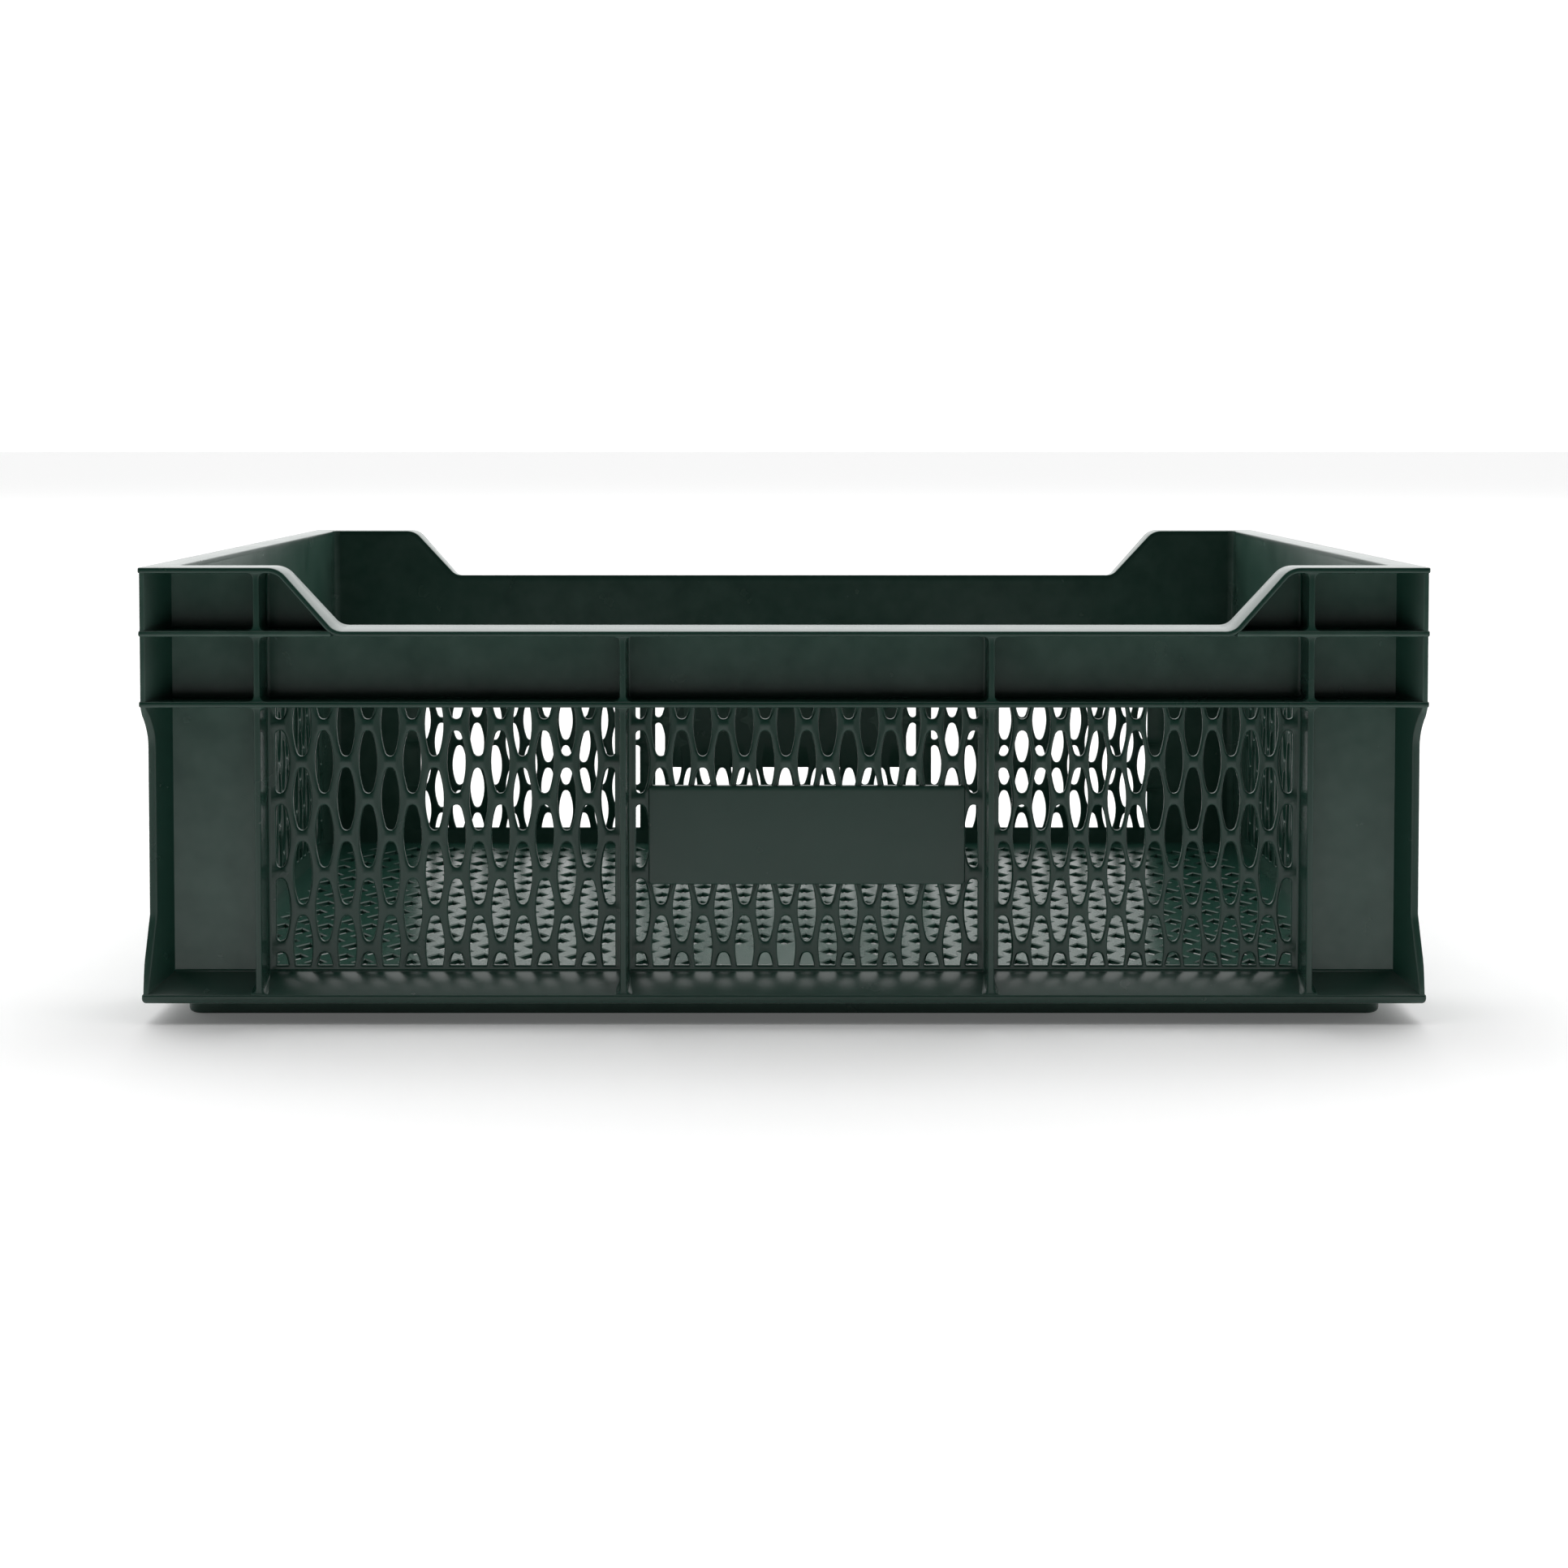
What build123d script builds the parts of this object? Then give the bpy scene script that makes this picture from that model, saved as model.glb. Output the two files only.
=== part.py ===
"""Stacking plastic crate, 600 x 400 footprint, with lattice walls and a drop-front notch.

The crate is one injection moulding.  It is drawn here as the regions a toolmaker would
name: floor, foot, flange, lattice panels, ribs, rings and rim.  Every region is a solid of
its own that meets its neighbours face to face.

Frame: X along the long side, Y along the short side, Z up, origin at the centre of the
foot's underside.  The front is at -Y.  Millimetres.
"""
from build123d import *
from math import atan2, tan
import os

os.makedirs("parts", exist_ok=True)

# ---------------------------------------------------------------- overall size
length = 600.0            # X, over the rim
width = 400.0             # Y, over the rim
height = 214.0            # Z, foot to rim
outline_radius = 1.0      # plan corners of rim, rings and flange

# ---------------------------------------------------------------- walls and floor
wall = 2.5                # thickness of every wall
long_inset = 16.0         # outline to the outer face of a long wall
end_inset = 11.5          # outline to the outer face of an end wall
inner_corner = 4.0        # radius of the upright corners inside
floor_top = 14.5
floor_thick = 2.5

# ---------------------------------------------------------------- rim and rings
rim_thick = 2.6
ring_thick = 2.8
middle_drop = 29.4        # rim top down to the top of the middle ring
lower_drop = 62.4         # rim top down to the top of the lower ring
notch_shoulder = 65.3     # outline to the start of the notch, along a long side
notch_run = 25.9          # length in plan of the slope into the notch
notch_crest_radius = 11.0
notch_foot_radius = 8.0

# ---------------------------------------------------------------- base
flange_low = 9.8          # underside of the flange, where it rests on the crate below
lip_height = 4.4          # outer face of the flange
flange_rise = 6.8         # slope of the flange up to the wall
flange_skin = 2.4
foot_clearance = 1.3      # foot to the inside of the rim below
foot_wall = 3.0
foot_radius = 8.0
sill = 24.4               # lower edge of the lattice windows

# ---------------------------------------------------------------- ribs and corner webs
rib_thick = 2.9
rib_setback = 0.5         # rib edge behind the outline
rib_flare = 1.8           # radius where a rib runs into a ring
corner_bay = 54.8         # outline to the outer ribs of a long side
end_outer_bay = 55.0      # outline to the outer ribs of an end
handle_bay = 124.0        # distance between the ribs beside the hand-hold
web_width = 3.4           # thickness of a corner web, measured along X
web_tip = 2.6             # from the end of the outline back to the web's front face, along X
web_setback = 0.4         # web edge behind the outline
web_waist = 6.3           # how far the web draws in behind the outline, below the lower ring
web_curl = 17.0           # height of the curve back out to the lower ring
web_flare = 30.0          # height of the straight flare down to the flange

# ---------------------------------------------------------------- lattice
hole_width = 8.3
hole_tip_radius = 2.0
# per side: centre of the lowest hole of an even column, rise to the next one, length of a hole
hole_rows = {
    "front": (33.1, 35.2, 29.7),
    "rear": (21.3, 28.8, 25.2),
    "left": (33.1, 35.2, 29.7),
    "right": (33.1, 35.2, 29.7),
}
window_margin = 3.5       # rib face to the edge of a window
edge_column = 2.0         # window edge to the middle of the first column
label_margin = 5.4        # window edge to the edge of the label plate
label_low = 63.0
label_high = 110.0
label_raise = 0.8
# per side: middle of the label bay, its width between rib centres, column pitch of each bay
long_bays = {
    "front": (10.8, 171.6, (10.4, 9.9, 8.9)),
    "rear": (-1.0, 176.0, (11.1, 9.9, 11.1)),
}
end_strip = {"front": 0.0, "rear": 8.5}  # extra solid wall beside the outer ribs of a long side
end_pitch = 9.9

# ---------------------------------------------------------------- floor diamonds
diamond_x = 10.0
diamond_y = 13.0
diamond_pitch_x = 23.2
diamond_pitch_y = 22.8
floor_margin = 5.0        # floor edge to the nearest diamond
patch_x = (-46.0, 22.0)   # plain patch of floor by the front wall
patch_depth = 73.0

# ---------------------------------------------------------------- hand-hold
handle_width = 110.0
handle_height = 34.0
handle_radius = 12.0
handle_drop = 40.0        # rim top down to the middle of the hand-hold
collar_thick = 2.5
collar_depth = 8.0

# ---------------------------------------------------------------- derived levels and lines
half_x = length / 2
half_y = width / 2
wall_x = half_x - end_inset
wall_y = half_y - long_inset
inner_x = wall_x - wall
inner_y = wall_y - wall
floor_low = floor_top - floor_thick
rim_low = height - rim_thick
middle_top = height - middle_drop
middle_low = middle_top - ring_thick
lower_top = height - lower_drop
lower_low = lower_top - ring_thick
notch_low = middle_low
notch_top = notch_low + rim_thick
lip_top = flange_low + lip_height
slope_top = lip_top + flange_rise
notch_out = half_x - notch_shoulder
notch_in = notch_out - notch_run
bend_shift = rim_thick * tan(atan2(height - notch_top, notch_run) / 2)
long_rib = half_x - corner_bay
end_rib = half_y - end_outer_bay
handle_rib = handle_bay / 2
handle_mid = height - handle_drop

# each side drawn as seen from outside: local x to the right, local y up, normal outwards
side_plane = {
    "front": Plane.XZ,
    "rear": Plane((0, 0, 0), x_dir=(-1, 0, 0), z_dir=(0, 1, 0)),
    "right": Plane.YZ,
    "left": Plane((0, 0, 0), x_dir=(0, -1, 0), z_dir=(-1, 0, 0)),
}
# cross-section of each side: local x outwards, local y up
section_plane = {
    "front": side_plane["left"],
    "rear": side_plane["right"],
    "right": side_plane["front"],
    "left": side_plane["rear"],
}
wall_face = {"front": wall_y, "rear": wall_y, "right": wall_x, "left": wall_x}
half_span = {"front": half_x, "rear": half_x, "right": half_y, "left": half_y}
reach = {"front": half_y, "rear": half_y, "right": half_x, "left": half_x}


def block(x0, x1, y0, y1, mode=Mode.ADD):
    """A sketch rectangle from its corners."""
    with Locations(((x0 + x1) / 2, (y0 + y1) / 2)):
        Rectangle(x1 - x0, y1 - y0, mode=mode)


def sector(side, deep_x, deep_y):
    """Plan of one side of a mitred frame, between the outline and an inner rectangle."""
    turn = 1 if side in ("front", "left") else -1
    RectangleRounded(length, width, outline_radius)
    if side in ("front", "rear"):
        Polygon(
            (-deep_x * turn, -deep_y * turn),
            (-half_x * turn, -half_y * turn),
            (half_x * turn, -half_y * turn),
            (deep_x * turn, -deep_y * turn),
            align=None,
            mode=Mode.INTERSECT,
        )
    else:
        Polygon(
            (-deep_x * turn, -deep_y * turn),
            (-half_x * turn, -half_y * turn),
            (-half_x * turn, half_y * turn),
            (-deep_x * turn, deep_y * turn),
            align=None,
            mode=Mode.INTERSECT,
        )


def lattice_hole(hole_length):
    """A tall lens: two large side arcs joined by two small tip arcs, all tangent."""
    half_w = hole_width / 2
    half_l = hole_length / 2
    tip = half_l - hole_tip_radius
    side_radius = (half_w**2 + tip**2 - hole_tip_radius**2) / (2 * (half_w - hole_tip_radius))
    reach_out = side_radius - hole_tip_radius
    join_x = (side_radius - half_w) * hole_tip_radius / reach_out
    join_y = side_radius * tip / reach_out
    with BuildSketch() as lens:
        with BuildLine():
            ThreePointArc((join_x, -join_y), (half_w, 0), (join_x, join_y))
            ThreePointArc((join_x, join_y), (0, half_l), (-join_x, join_y))
            ThreePointArc((-join_x, join_y), (-half_w, 0), (-join_x, -join_y))
            ThreePointArc((-join_x, -join_y), (0, -half_l), (join_x, -join_y))
        make_face()
    return lens.sketch


def column_places(start, stop, pitch, first):
    """Column centres of one window, and whether each column is an even one."""
    span = stop - start - 2 * edge_column
    count = round(span / pitch) + 1
    step = span / (count - 1)
    return [(start + edge_column + i * step, (i + first) % 2 == 0) for i in range(count)]


def hole_places(columns, rows):
    """Centres of the holes of these columns, from below the sill to above the lower ring."""
    hole_level, hole_rise, hole_length = rows
    places = []
    for x, even in columns:
        z = hole_level if even else hole_level - hole_rise / 2
        while z < lower_low + hole_length / 2:
            places.append((x, z))
            z += hole_rise
    return places


def window_holes(columns, rows, start, stop):
    """The part of a window's holes that lies inside its straight edges."""
    hole = lattice_hole(rows[2])
    with BuildSketch() as holes:
        with Locations(*hole_places(columns, rows)):
            add(hole)
        with Locations(((start + stop) / 2, (sill + lower_low) / 2)):
            Rectangle(stop - start, lower_low - sill, mode=Mode.INTERSECT)
    return holes.sketch


def rib_outline(x, low, high):
    """Front of a rib: a straight bar that flares where it meets a ring above or below."""
    middle = (low + high) / 2
    with Locations((x, middle)):
        Rectangle(rib_thick + 2 * rib_flare, high - low)
    aside = rib_thick / 2 + 2 * rib_flare
    with Locations((x - aside, middle), (x + aside, middle)):
        RectangleRounded(4 * rib_flare, high - low, rib_flare, mode=Mode.SUBTRACT)


# ---------------------------------------------------------------- floor
patch_back = -inner_y + patch_depth
diamond_places = []
for shift in (0.0, 0.5):
    count_x = int((inner_x - floor_margin - diamond_x / 2) / diamond_pitch_x)
    count_y = int((inner_y - floor_margin - diamond_y / 2) / diamond_pitch_y)
    for i in range(-count_x - 1, count_x + 1):
        for j in range(-count_y - 1, count_y + 1):
            x = (i + shift) * diamond_pitch_x
            y = (j + shift) * diamond_pitch_y
            inside_x = abs(x) + diamond_x / 2 <= inner_x - floor_margin
            inside_y = abs(y) + diamond_y / 2 <= inner_y - floor_margin
            on_patch = patch_x[0] < x < patch_x[1] and y < patch_back
            if inside_x and inside_y and not on_patch:
                diamond_places.append((x, y))

with BuildPart() as floor_grid:
    with BuildSketch(Plane.XY.offset(floor_low)):
        Rectangle(2 * inner_x, 2 * inner_y)
        with Locations(*diamond_places):
            Polygon(
                (-diamond_x / 2, 0),
                (0, -diamond_y / 2),
                (diamond_x / 2, 0),
                (0, diamond_y / 2),
                align=None,
                mode=Mode.SUBTRACT,
            )
    extrude(amount=floor_thick)
floor_grid.part.label = "floor_grid"
export_step(floor_grid.part, "parts/floor_grid.step")

# ---------------------------------------------------------------- foot
foot_x = inner_x - foot_clearance
foot_y = inner_y - foot_clearance
for side in side_plane:
    with BuildPart() as foot:
        with BuildSketch():
            RectangleRounded(2 * foot_x, 2 * foot_y, foot_radius)
            RectangleRounded(
                2 * (foot_x - foot_wall),
                2 * (foot_y - foot_wall),
                foot_radius - foot_wall,
                mode=Mode.SUBTRACT,
            )
            edge = foot_y - foot_radius
            if side == "front":
                block(-foot_x, foot_x, -foot_y, -edge, mode=Mode.INTERSECT)
            elif side == "rear":
                block(-foot_x, foot_x, edge, foot_y, mode=Mode.INTERSECT)
            elif side == "left":
                block(-foot_x, 0, -edge, edge, mode=Mode.INTERSECT)
            else:
                block(0, foot_x, -edge, edge, mode=Mode.INTERSECT)
        extrude(amount=floor_low)
    foot.part.label = f"{side}_foot"
    export_step(foot.part, f"parts/{side}_foot.step")

# ---------------------------------------------------------------- flange, lower ring and rim
for side in side_plane:
    face = wall_face[side]
    out = reach[side]
    with BuildPart() as flange:
        with BuildSketch(section_plane[side]):
            Polygon(
                (face, slope_top),
                (face, slope_top - flange_skin),
                (out - flange_skin, lip_top - flange_skin),
                (out - flange_skin, flange_low),
                (out, flange_low),
                (out, lip_top),
                align=None,
            )
        extrude(amount=half_span[side], both=True)
        with BuildSketch():
            sector(side, wall_x, wall_y)
        extrude(amount=slope_top, mode=Mode.INTERSECT)
    flange.part.label = f"{side}_flange"
    export_step(flange.part, f"parts/{side}_flange.step")

    with BuildPart() as lower_ring:
        with BuildSketch(Plane.XY.offset(lower_low)):
            sector(side, wall_x, wall_y)
        extrude(amount=ring_thick)
    lower_ring.part.label = f"{side}_lower_ring"
    export_step(lower_ring.part, f"parts/{side}_lower_ring.step")

    with BuildPart() as rim:
        if side in ("front", "rear"):
            with BuildSketch(side_plane[side].offset(inner_y)):
                with BuildLine():
                    FilletPolyline(
                        (-half_x, height),
                        (-notch_out, height),
                        (-notch_in, notch_top),
                        (notch_in, notch_top),
                        (notch_out, height),
                        (half_x, height),
                        radius=[
                            notch_crest_radius,
                            notch_foot_radius,
                            notch_foot_radius,
                            notch_crest_radius,
                        ],
                    )
                    Line((half_x, height), (half_x, rim_low))
                    FilletPolyline(
                        (half_x, rim_low),
                        (notch_out + bend_shift, rim_low),
                        (notch_in + bend_shift, notch_low),
                        radius=notch_crest_radius - rim_thick,
                    )
                    Line((notch_in + bend_shift, notch_low), (-notch_in - bend_shift, notch_low))
                    FilletPolyline(
                        (-notch_in - bend_shift, notch_low),
                        (-notch_out - bend_shift, rim_low),
                        (-half_x, rim_low),
                        radius=notch_crest_radius - rim_thick,
                    )
                    Line((-half_x, rim_low), (-half_x, height))
                make_face()
            extrude(amount=half_y - inner_y)
            with BuildSketch(Plane.XY.offset(notch_low)):
                sector(side, inner_x, inner_y)
            extrude(amount=height - notch_low, mode=Mode.INTERSECT)
        else:
            with BuildSketch(Plane.XY.offset(rim_low)):
                sector(side, inner_x, inner_y)
            extrude(amount=rim_thick)
    rim.part.label = f"{side}_rim"
    export_step(rim.part, f"parts/{side}_rim.step")

# ---------------------------------------------------------------- long walls
for side, (bay_mid, bay_width, pitches) in long_bays.items():
    # left and right are the crate's own, as seen from the front
    hands = ("left", "right") if side == "front" else ("right", "left")
    plane = side_plane[side].offset(inner_y)
    rib_xs = [-long_rib, bay_mid - bay_width / 2, bay_mid + bay_width / 2, long_rib]
    margin = rib_thick / 2 + window_margin
    first = 1
    for bay, name in enumerate((hands[0], "label", hands[1])):
        bay_from, bay_to = rib_xs[bay], rib_xs[bay + 1]
        start = bay_from + margin + (end_strip[side] if bay == 0 else 0)
        stop = bay_to - margin - (end_strip[side] if bay == 2 else 0)
        columns = column_places(start, stop, pitches[bay], first)
        first += len(columns)
        cut = window_holes(columns, hole_rows[side], start, stop)
        with BuildPart() as lattice:
            with BuildSketch(plane):
                block(bay_from, bay_to, floor_low, lower_low)
                add(cut, mode=Mode.SUBTRACT)
                if name == "label":
                    label_from, label_to = start + label_margin, stop - label_margin
                    block(label_from, label_to, label_low, label_high, mode=Mode.SUBTRACT)
            extrude(amount=wall)
        lattice.part.label = f"{side}_{name}_lattice"
        export_step(lattice.part, f"parts/{side}_{name}_lattice.step")
        if name == "label":
            edge_cut = window_holes([columns[0], columns[-1]], hole_rows[side], start, stop)

    with BuildPart() as label_plate:
        with BuildSketch(plane):
            block(label_from, label_to, label_low, label_high)
            add(edge_cut, mode=Mode.SUBTRACT)
        extrude(amount=wall + label_raise)
    label_plate.part.label = f"{side}_label_plate"
    export_step(label_plate.part, f"parts/{side}_label_plate.step")

    with BuildPart() as upper_wall:
        with BuildSketch(plane):
            block(-long_rib, long_rib, lower_low, notch_low)
        extrude(amount=wall)
    upper_wall.part.label = f"{side}_upper_wall"
    export_step(upper_wall.part, f"parts/{side}_upper_wall.step")

    for hand, way in zip(hands, (-1, 1)):
        with BuildPart() as shoulder:
            with BuildSketch(plane):
                with BuildLine():
                    FilletPolyline(
                        (way * long_rib, rim_low),
                        (way * (notch_out + bend_shift), rim_low),
                        (way * (notch_in + bend_shift), notch_low),
                        radius=notch_crest_radius - rim_thick,
                    )
                    Line((way * (notch_in + bend_shift), notch_low), (way * long_rib, notch_low))
                    Line((way * long_rib, notch_low), (way * long_rib, rim_low))
                make_face()
            extrude(amount=wall)
        shoulder.part.label = f"{side}_{hand}_shoulder"
        export_step(shoulder.part, f"parts/{side}_{hand}_shoulder.step")

        with BuildPart() as corner_panel:
            with BuildSketch(plane):
                block(
                    min(way * long_rib, way * wall_x),
                    max(way * long_rib, way * wall_x),
                    floor_low,
                    rim_low,
                )
            extrude(amount=wall)
            with BuildSketch(Plane.XY.offset(floor_top)):
                turn_x = inner_x if hand == "right" else -inner_x
                turn_y = inner_y if side == "rear" else -inner_y
                near_x = turn_x - inner_corner if hand == "right" else turn_x + inner_corner
                near_y = turn_y - inner_corner if side == "rear" else turn_y + inner_corner
                block(min(turn_x, near_x), max(turn_x, near_x), min(turn_y, near_y), max(turn_y, near_y))
                with Locations((near_x, near_y)):
                    Circle(inner_corner, mode=Mode.SUBTRACT)
            extrude(amount=height - floor_top)
        corner_panel.part.label = f"{side}_{hand}_corner_panel"
        export_step(corner_panel.part, f"parts/{side}_{hand}_corner_panel.step")

# ---------------------------------------------------------------- end walls
for side in ("left", "right"):
    plane = side_plane[side].offset(inner_x)
    rib_ys = [-end_rib, -handle_rib, handle_rib, end_rib]
    margin = rib_thick / 2 + window_margin
    first = 1
    with BuildPart() as end_lattice:
        with BuildSketch(plane):
            block(-inner_y, inner_y, floor_low, lower_low)
            for bay in range(3):
                start, stop = rib_ys[bay] + margin, rib_ys[bay + 1] - margin
                columns = column_places(start, stop, end_pitch, first)
                first += len(columns)
                add(window_holes(columns, hole_rows[side], start, stop), mode=Mode.SUBTRACT)
        extrude(amount=wall)
    end_lattice.part.label = f"{side}_end_lattice"
    export_step(end_lattice.part, f"parts/{side}_end_lattice.step")

    with BuildPart() as end_wall:
        with BuildSketch(plane):
            block(-inner_y, inner_y, lower_low, rim_low)
            with Locations((0, handle_mid)):
                RectangleRounded(handle_width, handle_height, handle_radius, mode=Mode.SUBTRACT)
        extrude(amount=wall)
    end_wall.part.label = f"{side}_upper_wall"
    export_step(end_wall.part, f"parts/{side}_upper_wall.step")

    with BuildPart() as collar:
        with BuildSketch(side_plane[side].offset(wall_x)):
            with Locations((0, handle_mid)):
                RectangleRounded(
                    handle_width + 2 * collar_thick,
                    handle_height + 2 * collar_thick,
                    handle_radius + collar_thick,
                )
                RectangleRounded(handle_width, handle_height, handle_radius, mode=Mode.SUBTRACT)
        extrude(amount=collar_depth)
    collar.part.label = f"{side}_handle_collar"
    export_step(collar.part, f"parts/{side}_handle_collar.step")

# ---------------------------------------------------------------- ribs
for side in side_plane:
    if side in long_bays:
        bay_mid, bay_width, pitches = long_bays[side]
        rib_lines = [-long_rib, bay_mid - bay_width / 2, bay_mid + bay_width / 2, long_rib]
        band_lines, rim_lines, tall_lines = rib_lines, [-long_rib, long_rib], []
    else:
        rib_lines = [-end_rib, -handle_rib, handle_rib, end_rib]
        band_lines, rim_lines = [-end_rib, end_rib], [-end_rib, end_rib]
        tall_lines = [-handle_rib, handle_rib]
    face = wall_face[side]
    depth = reach[side] - rib_setback - face

    with BuildPart() as lower_ribs:
        with BuildSketch(side_plane[side].offset(face)):
            for x in rib_lines:
                rib_outline(x, flange_low, lower_low)
        extrude(amount=depth)
        with BuildSketch(section_plane[side]):
            Polygon(
                (face, 0),
                (reach[side], 0),
                (reach[side], lip_top),
                (face, slope_top),
                align=None,
            )
        extrude(amount=half_span[side], both=True, mode=Mode.SUBTRACT)
    lower_ribs.part.label = f"{side}_lower_ribs"
    export_step(lower_ribs.part, f"parts/{side}_lower_ribs.step")

    with BuildPart() as upper_ribs:
        with BuildSketch(side_plane[side].offset(face)):
            for x in band_lines:
                rib_outline(x, lower_top, middle_low)
            for x in rim_lines:
                rib_outline(x, middle_top, rim_low)
            for x in tall_lines:
                rib_outline(x, lower_top, rim_low)
        extrude(amount=depth)
    upper_ribs.part.label = f"{side}_upper_ribs"
    export_step(upper_ribs.part, f"parts/{side}_upper_ribs.step")

# ---------------------------------------------------------------- corners
web_deep = half_y - web_setback
web_low = half_y - web_waist
web_back = web_width * long_inset / (end_inset - web_tip)
for corner, way_x, way_y in (
    ("front_left", -1, -1),
    ("front_right", 1, -1),
    ("rear_right", 1, 1),
    ("rear_left", -1, 1),
):
    with BuildPart() as middle_ring:
        with BuildSketch(Plane.XY.offset(middle_low)):
            RectangleRounded(length, width, outline_radius)
            Rectangle(2 * wall_x, 2 * wall_y, mode=Mode.SUBTRACT)
            ring_from_x = notch_in + bend_shift
            ring_from_y = handle_rib + rib_thick / 2
            block(
                min(way_x * ring_from_x, way_x * half_x),
                max(way_x * ring_from_x, way_x * half_x),
                min(way_y * ring_from_y, way_y * half_y),
                max(way_y * ring_from_y, way_y * half_y),
                mode=Mode.INTERSECT,
            )
        extrude(amount=ring_thick)
        climb = ring_thick * notch_run / (height - notch_top)
        with BuildSketch(Plane.XZ):
            Polygon(
                (way_x * ring_from_x, middle_low),
                (way_x * (ring_from_x + climb), middle_top),
                (way_x * ring_from_x, middle_top),
                align=None,
            )
        extrude(amount=half_y, both=True, mode=Mode.SUBTRACT)
    middle_ring.part.label = f"{corner}_middle_ring"
    export_step(middle_ring.part, f"parts/{corner}_middle_ring.step")

    with BuildPart() as corner_web:
        with BuildSketch(side_plane["right"]):
            block(wall_y - web_back, web_deep, middle_top, rim_low)
            block(wall_y - web_back, web_deep, lower_top, middle_low)
            with BuildLine():
                Line((wall_y - web_back, slope_top), (wall_y - web_back, lower_low))
                Line((wall_y - web_back, lower_low), (web_deep, lower_low))
                TangentArc(
                    (web_low, lower_low - web_curl),
                    (web_deep, lower_low),
                    tangent=(0, 1),
                )
                Line((web_low, lower_low - web_curl), (web_low, slope_top + web_flare))
                Line((web_low, slope_top + web_flare), (web_deep, lip_top))
                Line((web_deep, lip_top), (wall_y, slope_top))
                Line((wall_y, slope_top), (wall_y - web_back, slope_top))
            make_face()
        extrude(amount=half_x)
        with BuildSketch():
            Polygon(
                (wall_x, wall_y),
                (half_x - web_tip, half_y),
                (half_x - web_tip + web_width, half_y),
                (wall_x, wall_y - web_back),
                align=None,
            )
            RectangleRounded(
                length - 2 * web_setback,
                width - 2 * web_setback,
                outline_radius,
                mode=Mode.INTERSECT,
            )
        extrude(amount=height, mode=Mode.INTERSECT)
        with BuildSketch(section_plane["right"]):
            Polygon(
                (wall_x, 0),
                (half_x, 0),
                (half_x, lip_top),
                (wall_x, slope_top),
                align=None,
            )
        extrude(amount=half_y, both=True, mode=Mode.SUBTRACT)
        if way_x < 0:
            mirror(about=Plane.YZ, mode=Mode.REPLACE)
        if way_y < 0:
            mirror(about=Plane.XZ, mode=Mode.REPLACE)
    corner_web.part.label = f"{corner}_corner_web"
    export_step(corner_web.part, f"parts/{corner}_corner_web.step")
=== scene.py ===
# %% [markdown]
# # A stacking crate in dark green plastic
# The crate is one injection moulding: a thin shell, ribs and rings that stand out to a
# common outline, and lattice walls full of tall lens-shaped holes. Nothing on it is sharp,
# because a mould rounds every edge, and those small radii are what catch the light. So every
# visible region is rebuilt here as a surface worked out with numpy, with its radii in the
# mesh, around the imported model, which gives all the levels and faces. Only the flat corner
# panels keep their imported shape.

# %% Load the frame
import math

import bpy
import numpy as np
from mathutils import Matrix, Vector


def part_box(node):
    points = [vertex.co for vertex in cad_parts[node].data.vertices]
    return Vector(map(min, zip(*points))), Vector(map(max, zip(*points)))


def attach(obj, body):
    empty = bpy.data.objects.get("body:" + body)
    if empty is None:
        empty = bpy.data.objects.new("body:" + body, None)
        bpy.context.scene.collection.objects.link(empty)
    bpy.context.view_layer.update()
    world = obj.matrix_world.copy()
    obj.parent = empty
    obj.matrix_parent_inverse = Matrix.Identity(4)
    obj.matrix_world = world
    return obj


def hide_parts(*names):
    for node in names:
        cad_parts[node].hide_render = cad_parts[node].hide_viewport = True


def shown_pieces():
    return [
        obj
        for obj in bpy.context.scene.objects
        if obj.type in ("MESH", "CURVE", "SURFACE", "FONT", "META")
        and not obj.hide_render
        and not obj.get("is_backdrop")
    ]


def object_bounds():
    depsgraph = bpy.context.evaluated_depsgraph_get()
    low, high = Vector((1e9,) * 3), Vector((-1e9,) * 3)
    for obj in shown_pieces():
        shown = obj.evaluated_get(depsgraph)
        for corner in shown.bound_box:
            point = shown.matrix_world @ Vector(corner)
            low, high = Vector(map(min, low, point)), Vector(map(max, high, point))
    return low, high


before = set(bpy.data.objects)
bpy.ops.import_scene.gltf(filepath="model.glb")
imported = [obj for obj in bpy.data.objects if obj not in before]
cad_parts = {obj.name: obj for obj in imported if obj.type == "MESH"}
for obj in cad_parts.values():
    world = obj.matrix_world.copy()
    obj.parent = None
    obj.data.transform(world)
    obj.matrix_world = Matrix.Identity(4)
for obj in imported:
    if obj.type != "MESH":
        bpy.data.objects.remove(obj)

cad_low, cad_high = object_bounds()
print("CAD box", [round(v, 4) for v in (*cad_low, *cad_high)])

# %% [markdown]
# ## Levels and faces
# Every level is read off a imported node, so the looks follow the design. Only the small
# radii and the pattern sizes, which belong to the surface, are given here in millimetres.

# %% Read the levels and faces
MM = 0.001

half_x, half_y, top = cad_high.x, cad_high.y, cad_high.z
wall_x, inner_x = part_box("right_upper_wall")[1].x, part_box("right_upper_wall")[0].x
wall_y, inner_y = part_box("rear_upper_wall")[1].y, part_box("rear_upper_wall")[0].y
floor_low, floor_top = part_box("floor_grid")[0].z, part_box("floor_grid")[1].z
lower_low, lower_top = (v.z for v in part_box("left_lower_ring"))
middle_low, middle_top = (v.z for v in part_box("front_left_middle_ring"))
rim_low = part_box("left_rim")[0].z
notch_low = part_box("front_rim")[0].z
lip_low, slope_top = (v.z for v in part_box("front_flange"))
foot_x, foot_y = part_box("right_foot")[1].x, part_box("rear_foot")[1].y
long_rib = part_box("front_right_corner_panel")[0].x
notch_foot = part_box("front_right_shoulder")[0].x
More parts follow.
